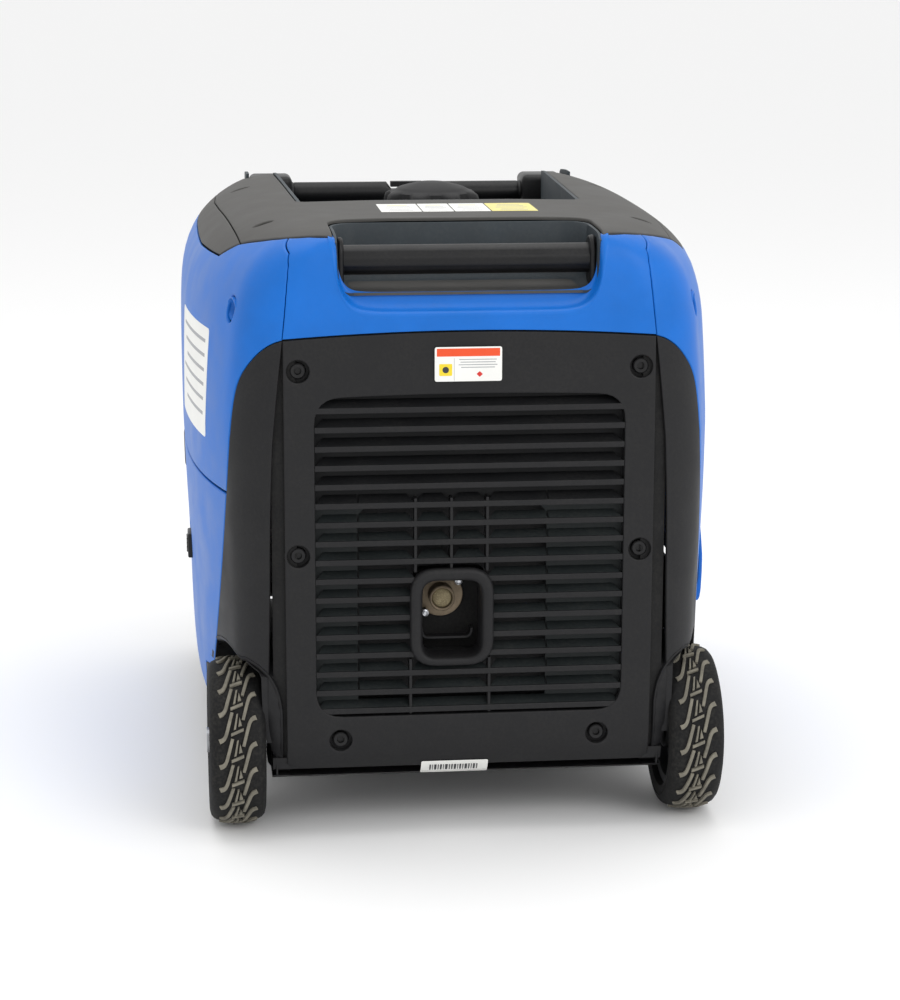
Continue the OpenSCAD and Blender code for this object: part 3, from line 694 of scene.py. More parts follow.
def louvred_cover():
    """The big end panel: bowed top edge, rounded louvre opening, six screw wells."""
    low, high, half = 103.0, 366.0, 124.5
    top = [(x, COVER_CROWN - (COVER_CROWN - COVER_TOP) * (x / COVER_X) ** 2)
           for x in np.linspace(COVER_X, -COVER_X, 25)]
    outline = rear_loop([(-COVER_X, COVER_FOOT), (COVER_X, COVER_FOOT)] + top)
    grille = rounded([(-half, low), (half, low), (half, high - 1), (60, high + 1), (0, high + 1.6),
                      (-60, high + 1), (-half, high - 1)], [22, 22, 22, 60, 60, 60, 22])
    wells = [rear_loop(disc_outline(side * x, z, 9.2, 40)) for side in (-1, 1) for x, z in SCREWS]
    cup = [(9.3, 0.9), (9.2, 7.0), (3.2, 7.0), (3.2, 8.6), (11.0, 8.6), (11.0, 0.9)]
    build = Build()
    build.add(*moulded(outline, wrap, [rear_loop(grille)] + wells, thick=3.0, roll=0.9, step=7, gap=0.2))
    for side in (-1, 1):
        for x, z in SCREWS:
            build.add(*revolved(cup, (side * x, well_face(x, z), z), "Y", 40))
    # return of the opening's edge, going in
    rings = []
    for draw, depth in ((0.1, 1.0), (0.0, 13.0), (2.2, 13.0), (2.4, 1.0), (0.1, 1.0)):
        loop = inset(turned_left(grille), -draw)
        rings.append(end_face(loop[:, 0], loop[:, 1]) + [0, depth, 0])
    build.add(*lofted(rings, ends=False))
    return build.done("louvred_cover", "casing_black", instead_of=["rear_cover"])


SCREWS = [(137, 387), (138, 237.5), (105, 83)]
BLOCK = [(-90, 114), (63, 114), (63, 268), (50, 281), (-78, 281), (-90, 268)]
RING_BOX = (-15.0, 184.5, 68.0, 81.0)
UPRIGHTS = [(-44, 222, 283), (-15, 224, 283), (14, 222, 283), (-48, 104, 150), (16, 104, 150)]


def well_face(x, z):
    """How far back the end panel's face lies at a screw."""
    return float(end_face(x, z)[1])


def slat_cells(z):
    """Where the raked faces of one slat start and stop, and which of their ends are bevelled."""
    half = 124.0
    cx, cz, w, h = RING_BOX
    stops = [(-half, True), (half, True)]
    if BLOCK[0][1] - 4 < z < 276:
        stops += [(BLOCK[0][0], False), (BLOCK[1][0], False)]
        stops += [(x, True) for x, low, high in UPRIGHTS if low - 6 < z < high - 4]
    stops = sorted(stops)
    cells = []
    for (a, bevel_a), (b, bevel_b) in zip(stops[:-1], stops[1:]):
        if abs(z + 6 - cz) < h / 2 + 2:
            if a > cx - w / 2 and b < cx + w / 2:
                continue
            if a < cx < b:
                cells += [(a, cx - w / 2 + 5, bevel_a, True), (cx + w / 2 - 5, b, True, bevel_b)]
                continue
        cells.append((a, b, bevel_a, bevel_b))
    return cells


def louvres():
    """Seventeen slats: a narrow upright nose, and a raked face behind it that stops short of the next."""
    low, high, half, count = 103.0, 366.0, 124.2, 17
    pitch = (high - low) / count
    nose = [(0.9, 0.2), (0.6, 0.6), (0.6, 4.3), (0.9, 4.8), (2.6, 5.0), (3.2, 4.4), (3.2, 0.9), (2.6, 0.2)]
    rake = [(2.0, 4.6), (9.6, 9.6), (10.6, 10.0), (11.2, 9.4), (10.4, 8.2), (3.0, 2.6), (2.0, 2.6)]
    cx, cz, w, h = RING_BOX
    fronts, upper, lower = Build(), Build(), Build()
    for i in range(count):
        z = low + 2.0 + i * pitch
        spans = [(-half, half)]
        if abs(z + 3 - cz) < h / 2 + 1:
            spans = [(-half, cx - w / 2 + 4), (cx + w / 2 - 4, half)]
        for x0, x1 in spans:
            fronts.add(*lofted([[(x, REAR_Y + d, z + up) for d, up in nose] for x in np.linspace(x0, x1, 9)]))
        for x0, x1, bevel0, bevel1 in slat_cells(z):
            rings = []
            for x, lean, bevel in ((x0 + 0.8, 1, bevel0), (x1 - 0.8, -1, bevel1)):
                reach = 6.5 if bevel else 0.0
                rings.append([(x + lean * reach * max(0.0, (d - 2.0) / 9.0), REAR_Y + d, z + up)
                              for d, up in rake])
            # upper rows take the darker raked finish, which is painted shade; lower rows take the lighter one,
            # which is painted light
            (upper if i > 10 else lower).add(*lofted(rings))
    fronts.done("louvre_noses", "casing_black", sharp=30)
    lower.done("louvre_rakes", "casing_black", sharp=30, finish=RAKE_PAINTED_LIGHT)
    return upper.done("louvre_rakes_upper", "casing_black", sharp=30, finish=RAKE_PAINTED_SHADE)


def louvre_backing():
    """The closed sheet behind the slats, open behind the set-back block, and the dark baffle further in."""
    block = rounded(BLOCK, [2, 2, 3, 3, 3, 3])
    lower = [(-126, 102), (126, 102), (126, 275), (-126, 275)]
    upper = box_outline(0, 320.5, 252, 91, 1)
    baffle = box_outline(0, 234.5, 256, 268, 10)
    tunnel = box_outline(RING_BOX[0], RING_BOX[1], 57, 73, 6)
    sheet = dict(thick=1.6, roll=0.3, step=14)
    # lower sheet in the lighter raked finish, painted light; upper sheet in the darker raked finish, painted
    # shade
    for name, outline, depth, holes, look in (("louvre_backing", lower, 10.0, [block], RAKE_PAINTED_LIGHT),
                                              ("louvre_backing_upper", upper, 11.4, [], RAKE_PAINTED_SHADE),
                                              ("inner_baffle", baffle, 26, [tunnel], None)):
        panel(name, outline, flat_wall(REAR_Y + depth), "casing_black", holes=holes, finish=look, **sheet)


def block_uprights():
    """Thin uprights that tie the slats together above and below the exhaust frame."""
    build = Build()
    for x, z0, z1 in UPRIGHTS:
        outline = box_outline(x, (z0 + z1) / 2, 2.4, z1 - z0, 0.6)
        build.add(*moulded(outline, flat_wall(REAR_Y + 1.2), thick=10.5, roll=0.6, step=6))
    return build.done("louvre_uprights", "casing_black")


def exhaust_frame():
    """The soft rounded frame that stands proud of the slats round the tail pipe."""
    cx, cz, w, h = RING_BOX
    stages = [(w - 8, h - 8, 13, 12.0), (w - 1, h - 1, 16, 6.0), (w, h, 16.5, 1.0),
              (w - 0.6, h - 0.6, 16.5, -1.0), (w - 3, h - 3, 15.5, -2.6), (w - 7, h - 7, 14, -3.3),
              (w - 12, h - 11, 12, -3.2),
              (w - 16.5, h - 15, 10.5, -2.2), (w - 19.5, h - 17, 9.5, 0.0), (w - 21, h - 18, 9, 4.0),
              (w - 22, h - 19, 8.5, 20.0), (w - 19, h - 16, 9.5, 20.0), (w - 17, h - 14, 10, 12.0)]
    rings = []
    for width, height, radius, y in stages:
        drop = 0.0 if width > w - 10 else -1.5 * min(1.0, (w - 8 - width) / 10)
        ring = box_outline(cx + 0.4, cz + drop, width, height, radius * 1.3)
        rings.append([(x, REAR_Y + y, z) for x, z in ring])
    verts, faces = lofted(rings + rings[:1], ends=False)
    return piece("exhaust_frame", verts, faces, "casing_black", instead_of=["exhaust_ring"], sharp=50)


def exhaust_well():
    """The dark sheet-metal well behind the frame, with its lower ledge."""
    cx, cz, w, h = RING_BOX
    pipe_x, pipe_z = pipe_centre()
    build = Build()
    pipe_hole = disc_outline(pipe_x, pipe_z, 11.5)
    build.add(*moulded(box_outline(cx, cz, 60, 76, 6), flat_wall(REAR_Y + 33), [pipe_hole], thick=1.2, roll=0.4,
                       step=8))
    tunnel = box_outline(cx, cz, 54, 70, 9)
    rings = [[(x, REAR_Y + y, z) for x, z in inset(turned_left(tunnel), draw)]
             for draw, y in ((0, 14), (0, 33), (1.2, 33), (1.2, 14), (0, 14))]
    build.add(*lofted(rings, ends=False))
    back = build.done("exhaust_well", "heat_steel", finish=SOOT_AND_PAINTED_SHADE)
    ledge = [(x, REAR_Y + 17, z) for x, z in
             bend((cx - 22, cz - 14), (cx - 22, cz - 21), (cx - 17, cz - 21), 8).tolist()
             + bend((cx + 13, cz - 21), (cx + 18, cz - 21), (cx + 18, cz - 14), 8).tolist()]
    section = [(0.0, 0.5), (0.6, 0.0), (12, 0.0), (12, -1.2), (0.0, -1.2)]
    rings = []
    path = np.array(ledge)
    ahead = np.gradient(path, axis=0)
    ahead /= np.linalg.norm(ahead, axis=1, keepdims=True)
    for p, a in zip(path, ahead):
        up = np.array([-a[2], 0, a[0]])
        rings.append([p + np.array([0, d, 0]) + up * rise for d, rise in section])
    piece("exhaust_ledge", *lofted(rings), "casing_black")
    return back


def pipe_centre():
    """The tail pipe's middle, as x and z."""
    low, high = cad("tail_pipe")
    return (low[0] + high[0]) / 2, (low[2] + high[2]) / 2


def tail_pipe():
    """The tail pipe with a rolled mouth and a soot-stained spark screen inside."""
    x, z = pipe_centre()
    low, high = cad("tail_pipe")
    r = 10.5
    y0 = low[1]
    profile = [(r - 1.0, y0), (r, y0 + 0.9), (r, -269), (r + 7.5, -268), (r + 8, -267), (r + 8, -263),
               (r, -262.4), (r, high[1]), (r - 2, high[1]), (r - 2, y0 + 0.9)]
    piece("tail_pipe_mouth", *revolved(profile, (x, 0, z), "Y", 64), "heat_steel", instead_of=["tail_pipe"])
    dome = ((0.01, 1.0), (4.0, 1.4), (7.0, 2.4), (8.4, 4.2), (8.4, 6), (0.01, 6))
    dome = [(r, y0 + along) for r, along in dome]
    piece("spark_screen", *revolved(dome, (x, 0, z), "Y", 48), "heat_steel", finish=SCREEN)


def screen_finish():
    """Woven wire, with painted shade where the holes are."""
    def painted_hole_shade(tree, body):
        where = node(tree, "TexCoord").outputs["Object"]
        wires = node(tree, "TexVoronoi", {"Vector": where, "Scale": 900.0})
        gap = node(tree, "MapRange", {"Value": wires.outputs["Distance"], "From Min": 0.25, "From Max": 0.5})
        # darker colour in the holes: painted shade
        return mixed(tree, gap.outputs[0], body, linear(104, 94, 70))
    return finish("spark_screen", (126, 116, 88), 0.8, grain=0.8, depth=0.1, drift=8.0, vary=0.12, dust=0.15,
                  upward=0.0, dust_colour=(112, 102, 78), more=painted_hole_shade)


SCREEN = screen_finish()


def shield_screws():
    """Two bright screws that hold the heat shield inside the well."""
    for name, x, z in (("upper", -7.0, 209.0), ("lower", -34.5, 183.0)):
        place = (x, REAR_Y + 19, z)
        profile = [(0.01, 0.6), (1.1, 0.6), (1.3, 1.4), (2.0, 1.1), (3.0, 1.6), (3.4, 2.6), (3.4, 3.6),
                   (0.01, 3.6)]
        piece("shield_screw_" + name, *revolved(profile, place, "Y", 30), "bright_steel")
        post = [(0.01, 3.6), (0.01, 14.0), (2.6, 14.0), (2.6, 3.6)]
        piece("shield_post_" + name, *revolved(post, place, "Y", 20), "heat_steel", finish=SOOT_AND_PAINTED_SHADE)


def cover_screw_heads():
    """Black socket-head screws, sunk in the cover's wells."""
    r = 6.6
    profile = [(0.01, 5.6), (2.6, 5.6), (3.0, 3.2), (r - 1.2, 2.9), (r - 0.3, 3.6), (r, 4.8), (r, 6.9),
               (0.01, 6.9)]
    build = Build()
    for side in (-1, 1):
        for x, z in SCREWS:
            build.add(*revolved(profile, (side * x, well_face(x, z), z), "Y", 36))
    return build.done("cover_screw_heads", "tube_black", instead_of=["cover_screws"])


def rolled_lip(path, radius, depth):
    """An edge that turns inward from the casing: its rings of points along a path of s and z."""
    s, z = np.array(path, float).T
    place = wrap(s, z)
    du, dv = wrap(s + 0.05, z) - wrap(s - 0.05, z), wrap(s, z + 0.05) - wrap(s, z - 0.05)
    out = np.cross(du, dv)
    out /= np.linalg.norm(out, axis=1, keepdims=True)
    ahead = np.gradient(place, axis=0)
    over = np.cross(ahead, out)
    over /= np.linalg.norm(over, axis=1, keepdims=True)
    turns = np.radians(np.linspace(0, 90, 8))
    rings = []
    for p, o, d in zip(place, out, over):
        face = [p + d * radius * math.sin(t) - o * (radius * (1 - math.cos(t)) + 0.05) for t in turns]
        face.append(p + d * radius - o * (radius + depth))
        inner = radius - 1.8
        back = [p + d * inner - o * (radius + depth)]
        back += [p + d * inner * math.sin(t) - o * (1.8 + inner * (1 - math.cos(t))) for t in turns[::-1]]
        rings.append(face + back)
    return np.array(rings)


def flank(side):
    """One black rear flank, from the cover's seam round the corner to the wheel arch."""
    lip = 4.5
    foot = rear_line([(152.2, SHELL_FOOT), (152.2, 108)])
    round_up = rear_line(bend((152.2, 108), (155, 144), (181.5, 150.5), 10)[1:])
    over = [q for q in arch(128, 1, lip, 40) if -283 < wrap(*q)[1] < -158 and q[0] > round_up[-1][0] + 2]
    edge = foot + round_up + over + side_line([(-157, 100), (-157, 72)])
    outline = (rear_line([(COVER_X + SEAM, SHELL_FOOT)]) + edge + side_line([(-153.8, 72), (-153.8, 112)])
               + FLANK_EDGE[::-1])
    build = Build()
    shape = dict(thick=2.4, roll=0.7, step=7, gap=0.1)
    rings = rolled_lip(edge, lip, 9)
    if side > 0:
        build.add(*moulded(np.array(outline), wrap, **shape))
        build.add(*lofted(rings))
    else:
        build.add(*moulded(np.array(mirror(outline)), wrap, **shape))
        build.add(*lofted([ring[::-1] * [-1, 1, 1] for ring in rings]))
    # the arch's liner, its inner wall and the collar round the axle
    turns = np.radians(np.linspace(172, -6, 40))
    rings = []
    for t in turns:
        y, z = WHEEL_Y + ARCH_R * math.cos(t), WHEEL_R + ARCH_R * math.sin(t)
        out_x = float(wrap(at_y(max(y, REAR_Y + 12), z), z)[0]) - 5.0
        radial = np.array([0, math.cos(t), math.sin(t)])
        y = max(y, REAR_Y + 8)
        a, b = np.array([side * 158.0, y, z]), np.array([side * max(out_x, 161), y, z])
        rings.append([a, b, b + radial * 1.6, a + radial * 1.6])
    build.add(*lofted(rings if side > 0 else [r[::-1] for r in rings]))
    wall = [(max(WHEEL_Y + (ARCH_R + 1) * math.cos(t), REAR_Y + 8), WHEEL_R + (ARCH_R + 1) * math.sin(t))
            for t in turns[::-1]]
    wall = [(wall[0][0], SHELL_FOOT)] + wall + [(wall[-1][0], SHELL_FOOT)]
    wall = np.array([(side * y, z) for y, z in wall])

    def inner_wall(y, z):
        return np.stack([np.full_like(y, side * 157.6), side * y, z], -1)
    axle_hole = disc_outline(side * WHEEL_Y, WHEEL_R, 7.6, 30)
    build.add(*moulded(wall, inner_wall, [axle_hole], thick=1.6, roll=0.5, step=12))
    collar = [(7.8, 157.8), (24.0, 157.8), (23.4, 160.0), (20.0, 162.6), (12.0, 163.2), (7.8, 163.2)]
    collar = [(r, side * x) for r, x in (collar if side > 0 else collar[::-1])]
    build.add(*revolved(collar, (0, WHEEL_Y, WHEEL_R), "X", 60))
    word = "right" if side > 0 else "left"
    return build.done(word + "_flank", "casing_black", instead_of=[word + "_rear_flank"])


def seam_backing():
    """Ribs behind the long seams, which the real panels lap over; their near-black soot finish is painted shade
    for the seam gaps.
    """
    def sunk(s, z):
        at = wrap(s, z)
        x = at[..., 0]
        outward = np.stack([np.sign(x) * 0.25, np.full_like(x, -1.0), np.zeros_like(x)], -1)
        return at - outward * 3.6
    build = Build()
    for side in (-1, 1):
        strip = [(140, 60), (160, 60), (160, 400), (154, 425), (150, 480), (132, 480), (138, 425), (140, 400)]
        strip = [(side * x, z) for x, z in strip]
        build.add(*moulded(rear_loop(strip), sunk, thick=1.4, roll=0.3, step=9))
    lintel = [(-146, 398), (-60, 404), (60, 404), (146, 398), (146, 416), (60, 422), (-60, 422), (-146, 416)]
    build.add(*moulded(rear_loop(lintel), sunk, thick=1.4, roll=0.3, step=9))
    return build.done("seam_backing", "casing_black", finish=SOOT_AND_PAINTED_SHADE)


def black_sill():
    """The black sill below the right door, running forward from the arch."""
    outline = (side_line([(-153.4, 70), (-40, 70), (80, 70), (200, 70), (FRONT_SEAM_Y, 70),
                          (FRONT_SEAM_Y, 157.4), (150, 157.4), (20, 157.4), (-100, 157.4)])
               + rear_line([(202.3, 157.4), (203.6, 140), (205, 120)])
               + side_line([(-153.2, 112), (-153.2, 72)]))
    return panel("black_sill", outline, wrap, "casing_black", thick=2.6, roll=1.2, step=9, gap=GAP)


def scoop_panel():
    """The blue rear panel with its coved, U-shaped scoop for the lifting bar."""
    outer = [(MOUTH_X + 1.5, 490.6), (MOUTH_X - 0.5, 466), (103.5, 448), (96, 436), (82, 430.2), (40, 430)]
    outer = softened(outer + [(0, 430)], 2)
    notch = [tuple(p) for p in outer]
    left = mirror(notch)[1:]
    bottom_edge = [(x, 0.8 + COVER_CROWN - (COVER_CROWN - COVER_TOP) * (x / COVER_X) ** 2)
                   for x in np.linspace(-COVER_X, COVER_X, 25)]
    right_seam = [(COVER_X, COVER_TOP + 0.8), (147, 430), (144, 460), (141, 488.2)]
    outline = (bottom_edge + right_seam[1:] + [(125, 490.2)] + notch + left + [(-125, 490.2)]
               + mirror(right_seam[1:]))
    build = Build()
    build.add(*moulded(rear_loop(outline), wrap, thick=2.6, roll=0.7, step=7, gap=0.2))
    # cove from the scoop's outer edge in to the pocket floor
    inner = [(104.2, 489), (104.0, 470), (101.5, 457), (95, 449), (83, 446.8), (40, 446.6), (0, 446.6)]
    inner = softened(inner, 2)
    path = np.vstack([notch, left])
    inner = np.vstack([inner, [(-x, z) for x, z in inner[::-1]][1:]])
    turns = np.radians(np.linspace(0, 90, 10))
    depth, lead = 16.5, 3.2
    rings = []
    for a, b in zip(path, inner):
        a, b = np.array(a), np.array(b)
        skin = float(end_face(a[0], a[1])[1])
        away = (a - b) / np.linalg.norm(a - b)
        reach = np.linalg.norm(a - b) - lead
        lip = ((2.6, -0.1), (1.2, -0.35), (-0.4, -0.3), (-1.6, 0.5), (-2.6, 1.9))
        face = [(a + away * q, d) for q, d in lip]
        face += [(a - away * (lead + reach * (1 - math.cos(t))), 3.4 + (depth - 3.4) * math.sin(t))
                 for t in turns]
        back = [(q + away * 1.8, d + 1.8) for q, d in face[:3:-1]]
        back += [(a + away * 1.4, 3.0), (a + away * 2.6, 0.4)]
        rings.append([(q[0], skin + d, q[1]) for q, d in face + back])
    build.add(*lofted(rings))
    return build.done("scoop_panel", "casing_blue", instead_of=["rear_scoop_panel"])


# ---------------------------------------------------------------- blue sides

LATCH_Y, DOOR_TOP_L, DOOR_FRONT_L = -40.0, 283.4, 46.4
DOOR_L_MOUTH = (1.0, 230.0)


def side_body(side):
    """One blue side, round the rear corner and along to the front seam."""
    shoulder = [q for q in SHOULDER if q[0] > 196] + SHOULDER_SIDE
    front = side_line([(FRONT_SEAM_Y, 459.5), (FRONT_SEAM_Y, 300), (FRONT_SEAM_Y, 158.2 if side > 0 else 70)])
    shoulder = [(s, z - 0.3) for s, z in shoulder[:-1]]
    if side > 0:
        opening = side_line([(96.6, 158.2), (96.6, 292.6), (-176.6, 292.6), (-176.6, 158.2)])
        flank_part = rear_line([(202.4, 158.2)]) + [p for p in FLANK_EDGE[::-1] if p[1] > 160]
    else:
        mouth = side_line(rounded([(DOOR_FRONT_L, 233), (116, 233), (116, 283.8), (40, 283.8)],
                                  [1, 16, 16, 0]).tolist())
        opening = side_line([(DOOR_FRONT_L, 70)]) + mouth + side_line([(-60, 283.8), (-160, 283.8)])
        flank_part = [p for p in FLANK_EDGE[::-1] if p[1] > 285]
        first = rear_line([(float(np.interp(283.8, FLANK_LINE[::-1, 1], FLANK_LINE[::-1, 0])), 283.8)])
        flank_part = first + flank_part
    outline = REAR_SEAM + shoulder + front + opening + flank_part[:-1]
    screw_s, screw_z = unwrap((189.5, -255, 431))
    hole = disc_outline(screw_s, screw_z, 8.6, 36)
    hole[:, 1] = screw_z + (hole[:, 1] - screw_z) * 1.25
    if side < 0:
        outline = [(-s, z) for s, z in outline][::-1]
        hole = np.array([(-s, z) for s, z in hole])
    name = ("right" if side > 0 else "left") + "_side_body"
    build = Build()
    build.add(*moulded(np.array(outline), wrap, [hole], thick=2.6, roll=1.1, step=9, gap=GAP))
    cad_node = ("right" if side > 0 else "left") + "_side_panel"
    body = build.done(name, "casing_blue", instead_of=[cad_node])
    # the sunk screw near the rear corner
    at = wrap(side * screw_s, screw_z)
    tiny = wrap(side * screw_s + 0.5, screw_z) - wrap(side * screw_s - 0.5, screw_z)
    out = np.cross(tiny, (0, 0, 1))
    out /= np.linalg.norm(out)
    turn = np.array(Vector((0, 0, 1)).rotation_difference(Vector(out)).to_matrix()).T
    dish = [(9.6, -0.7), (9.4, -8.0), (3.0, -8.0), (3.0, -6.6), (5.4, -6.4), (8.5, -0.7)]
    verts, faces = revolved(dish[::-1], (0, 0, 0), "Z", 40)
    piece(name.replace("body", "screw_dish"), verts * [1, 1.2, 1] @ turn + at, faces, "casing_blue")
    head = [(0.01, -6.2), (1.8, -6.2), (2.0, -4.6), (4.0, -4.8), (4.6, -5.6), (4.6, -6.6), (0.01, -6.6)]
    verts, faces = revolved(head[::-1], (0, 0, 0), "Z", 30)
    piece(name.replace("body", "side_screw"), verts @ turn + at, faces, "tube_black")
    return body


def left_access_door():
    """The left door, from the flank line to the recoil grip, with its latch slot."""
    flank_part = [p for p in FLANK_EDGE if p[1] < 282]
    first = rear_line([(float(np.interp(282.6, FLANK_LINE[::-1, 1], FLANK_LINE[::-1, 0])), 282.6)])
    mouth = rounded([(DOOR_FRONT_L - 0.8, 230), (DOOR_L_MOUTH[0], 230), (DOOR_L_MOUTH[0], 282.6)], [1, 16, 1])
    outline = (first + flank_part + side_line([(-153.0, 112), (-153.0, 71)])
               + side_line([(-60, 71), (DOOR_FRONT_L - 0.8, 71)]) + side_line(mouth.tolist())
               + side_line([(-60, 282.6), (-160, 282.6)]))
    outline = [(-s, z) for s, z in outline]
    slot = [(-s, z) for s, z in side_line(box_outline(LATCH_Y, 194.5, 27, 32, 3).tolist())]
    return panel("left_access_door", np.array(outline), wrap, "casing_blue", "left_door", ["left_door"],
                 holes=[np.array(slot)], thick=2.6, roll=1.1, step=9, gap=GAP)


def right_access_door():
    """The right door, whose lower part stands proud in a smooth flare."""
    outline = side_line([(-175.8, 160.4), (-100, 160.4), (0, 160.4), (95.8, 160.4), (95.8, 291.8), (0, 291.8),
                         (-100, 291.8), (-175.8, 291.8)])
    slot = side_line(box_outline(LATCH_Y, 266.5, 27, 32, 3).tolist())

    def flared(s, z):
        at = wrap(s, z)
        rise = np.interp(z, [160, 163, 170, 185, 200, 215, 232, 240], [2.0, 4.2, 5.0, 5.2, 4.8, 3.0, 0.6, 0])
        limit = HALF_W - 0.2 - np.abs(at[..., 0])
        rise = np.minimum(rise, np.maximum(limit, 0))
        at = at.copy()
        at[..., 0] += np.sign(at[..., 0]) * rise
        return at
    return panel("right_access_door", np.array(outline), flared, "casing_blue", "right_door", ["right_door"],
                 holes=[np.array(slot)], thick=3.0, roll=1.4, step=7, gap=0)


def door_latches():
    """Each door's sliding latch, with four ribs for the fingertip."""
    for side, cad_node in (("left", "left_door_latch"), ("right", "right_door_latch")):
        low, high = cad(cad_node)
        centre, size = (low + high) / 2, high - low
        build = Build()
        build.add(*soft_box(centre, size, 1.6))
        for k in range(4):
            z = low[2] + size[2] * (0.25 + 0.17 * k)
            x = low[0] - 0.3 if side == "left" else high[0] + 0.3
            build.add(*soft_box((x, centre[1], z), (1.4, size[1] * 0.7, 1.3), 0.5))
        build.done(side + "_latch_slide", "tube_black", body=cad_node, instead_of=[cad_node])


def recoil_handle():
    """The moulded starter grip: a rounded bar with a waist."""
    low, high = cad("recoil_grip")
    centre = (low + high) / 2
    length, height = high[1] - low[1], high[2] - low[2]
    rings = []
    for t in np.linspace(-1, 1, 41):
        end = math.sqrt(max(1 - max(0, (abs(t) - 0.86) / 0.14) ** 2, 0.02))
        waist = 1 - 0.12 * math.cos(t * math.pi) - 0.02
        half_h = height / 2 * 0.98 * end * min(waist, 1)
        ring = box_outline(-HALF_W + 8.2, centre[2], 15.2 * (0.5 + 0.5 * end), 2 * half_h, 7.5)
        rings.append([(x, centre[1] + t * length / 2 * 0.995, z) for x, z in ring])
    build = Build()
    build.add(*lofted(rings))
    stem = [(0.01, -HALF_W + 14), (7, -HALF_W + 14), (6.4, -HALF_W + 18), (5, high[0]), (0.01, high[0])]
    build.add(*revolved(stem, (0, centre[1], centre[2]), "X", 32))
    return build.done("recoil_handle", "tube_black", body="recoil_grip", instead_of=["recoil_grip"])


# ---------------------------------------------------------------- top

def top_skin():
    """The grey top cover between the two rails, notched for both grips."""
    rear_edge = [tuple(wrap(s, z)[:2]) for s, z in SHOULDER if wrap(s, z)[0] > MOUTH_X + 1]
    corner = bend((MOUTH_X - 22, MOUTH_BACK), (MOUTH_X, MOUTH_BACK), (MOUTH_X, MOUTH_BACK - 22), 8)
    recess = rounded([(159, 268), (159, 226), (133, 226), (124, -57), (60, -57)], [0, 3, 3, 16, 0])
    right = ([(0, MOUTH_BACK)] + corner.tolist() + [(MOUTH_X, -250), (MOUTH_X, rear_edge[0][1])]
             + [(x, y) for x, y in rear_edge[:-1]] + filled(RAIL_LINE) + recess.tolist() + [(0, -57)])
    outline = right + [(-x, y) for x, y in right[::-1]][1:-1]
    slots = [disc_outline(0, 0, 1.0, 32) * [8.5, 5.5] + [x, y] for x, y in
             ((-158, -168), (158, -168), (-168, 114), (168, 114))]
    build = Build()
    build.add(*moulded(np.array(outline), crown, slots, thick=2.6, roll=1.3, step=8, gap=GAP))
    skin = build.done("top_skin", "cover_grey", instead_of=["top_cover"])
    cups = Build()
    for slot in slots:
        cups.add(*moulded(inset(turned_left(slot), -2), lambda x, y: crown(x, y) - [0, 0, 3.2], thick=1.2,
                          roll=0.4, step=4))
    cups.done("cover_fixings", "tube_black")
    return skin


RAIL_CORE = (140.0, 415.0)  # x and z that the shoulder is rounded about
LEAN_SPAN = 60.0  # millimetres of outline for each radian of lean


def shoulder(side):
    """The rounded shoulder as a surface: how far over it leans, and y."""
    def at(u, y):
        lean = np.asarray(u, float) * side / LEAN_SPAN
        y = np.asarray(y, float)

        def inside(r):
            x, z = RAIL_CORE[0] + r * np.sin(lean), np.minimum(RAIL_CORE[1] + r * np.cos(lean), TOP)
            length_share = np.where(y < MID_Y, share(REAR_SHARE, z), share(FRONT_SHARE, z))
            held = plan_gap(x / width_share(y, z), MID_Y + (y - MID_Y) / length_share) < 0
            return held & (RAIL_CORE[1] + r * np.cos(lean) < TOP)
        r = halved(np.full(y.shape, 5.0), np.full(y.shape, 160.0), inside)
        return np.stack([side * (RAIL_CORE[0] + r * np.sin(lean)), y, RAIL_CORE[1] + r * np.cos(lean)], -1)
    return at


def side_rail(side):
    """The grey shoulder rail beside the top cover."""
    def leaning(x, y, z):
        return LEAN_SPAN * math.atan2(x - RAIL_CORE[0], z - RAIL_CORE[1]), y
    outer = [leaning(*wrap(s, z + 0.3)) for s, z in SHOULDER_SIDE]
    seam = [leaning(x, y, float(crown(x, y)[2])) for x, y in filled(RAIL_LINE[::-1], 14)]
    outline = outer + seam
    if side < 0:
        outline = [(-u, y) for u, y in outline][::-1]
    name = "right" if side > 0 else "left"
    return panel(name + "_shoulder_rail", np.array(outline), shoulder(side), "cover_grey", "root",
                 [name + "_top_rail"], thick=2.6, roll=0.9, step=6, gap=0.25)


def pocket_tub():
    """The grey tub behind the lifting bar: rounded back corners and a filleted floor."""
    x, back, floor, rim = MOUTH_X - 3.2, MOUTH_BACK - 2.0, 446.2, 492.5
    radius, count = 21.0, 10
    turns = np.linspace(0, 90, count)
    path = [(x, y, 1, 0) for y in np.linspace(-279.6, back - radius, 8)]
    for t in turns[1:]:
        nx, ny = math.cos(math.radians(t)), math.sin(math.radians(t))
        path.append((x - radius + radius * nx, back - radius + radius * ny, nx, ny))
    path += [(px, back, 0, 1) for px in np.linspace(x - radius, 0, 8)[1:]]
    path += [(-px, py, -nx, ny) for px, py, nx, ny in path[-2::-1]]
    r = 9.0
    profile = [(2.2, rim), (0.6, rim), (0.0, rim - 0.8), (-1.0, floor + r + 8), (-1.6, floor + r)]
    profile += [(-1.6 - r + r * math.cos(math.radians(t)), floor + r - r * math.sin(math.radians(t)))
                for t in np.linspace(10, 90, 8)]
    profile += [(-18, floor), (-18, floor - 2), (2.2, floor - 2)]
    rings = []
    for px, py, nx, ny in path:
        top = min(rim, float(crown(np.array([px]), np.array([py]))[0][2]) - 2.8)
        rings.append([(px + nx * out, py + ny * out, min(z, top) if z > floor + 20 else z)
                      for out, z in profile])
    verts, faces = lofted([ring[::-1] for ring in rings])
    piece("pocket_tub", verts, faces, "liner_grey", instead_of=["rear_pocket"], sharp=50)
    edge = x - 12.5
    floor_outline = rounded([(-edge, -279.8), (edge, -279.8), (edge, back - 12.5), (-edge, back - 12.5)],
                            [1, 1, 10, 10])
    panel("pocket_floor", floor_outline, level(floor + 0.15), "cover_grey", thick=2.0, roll=0.1, step=10)


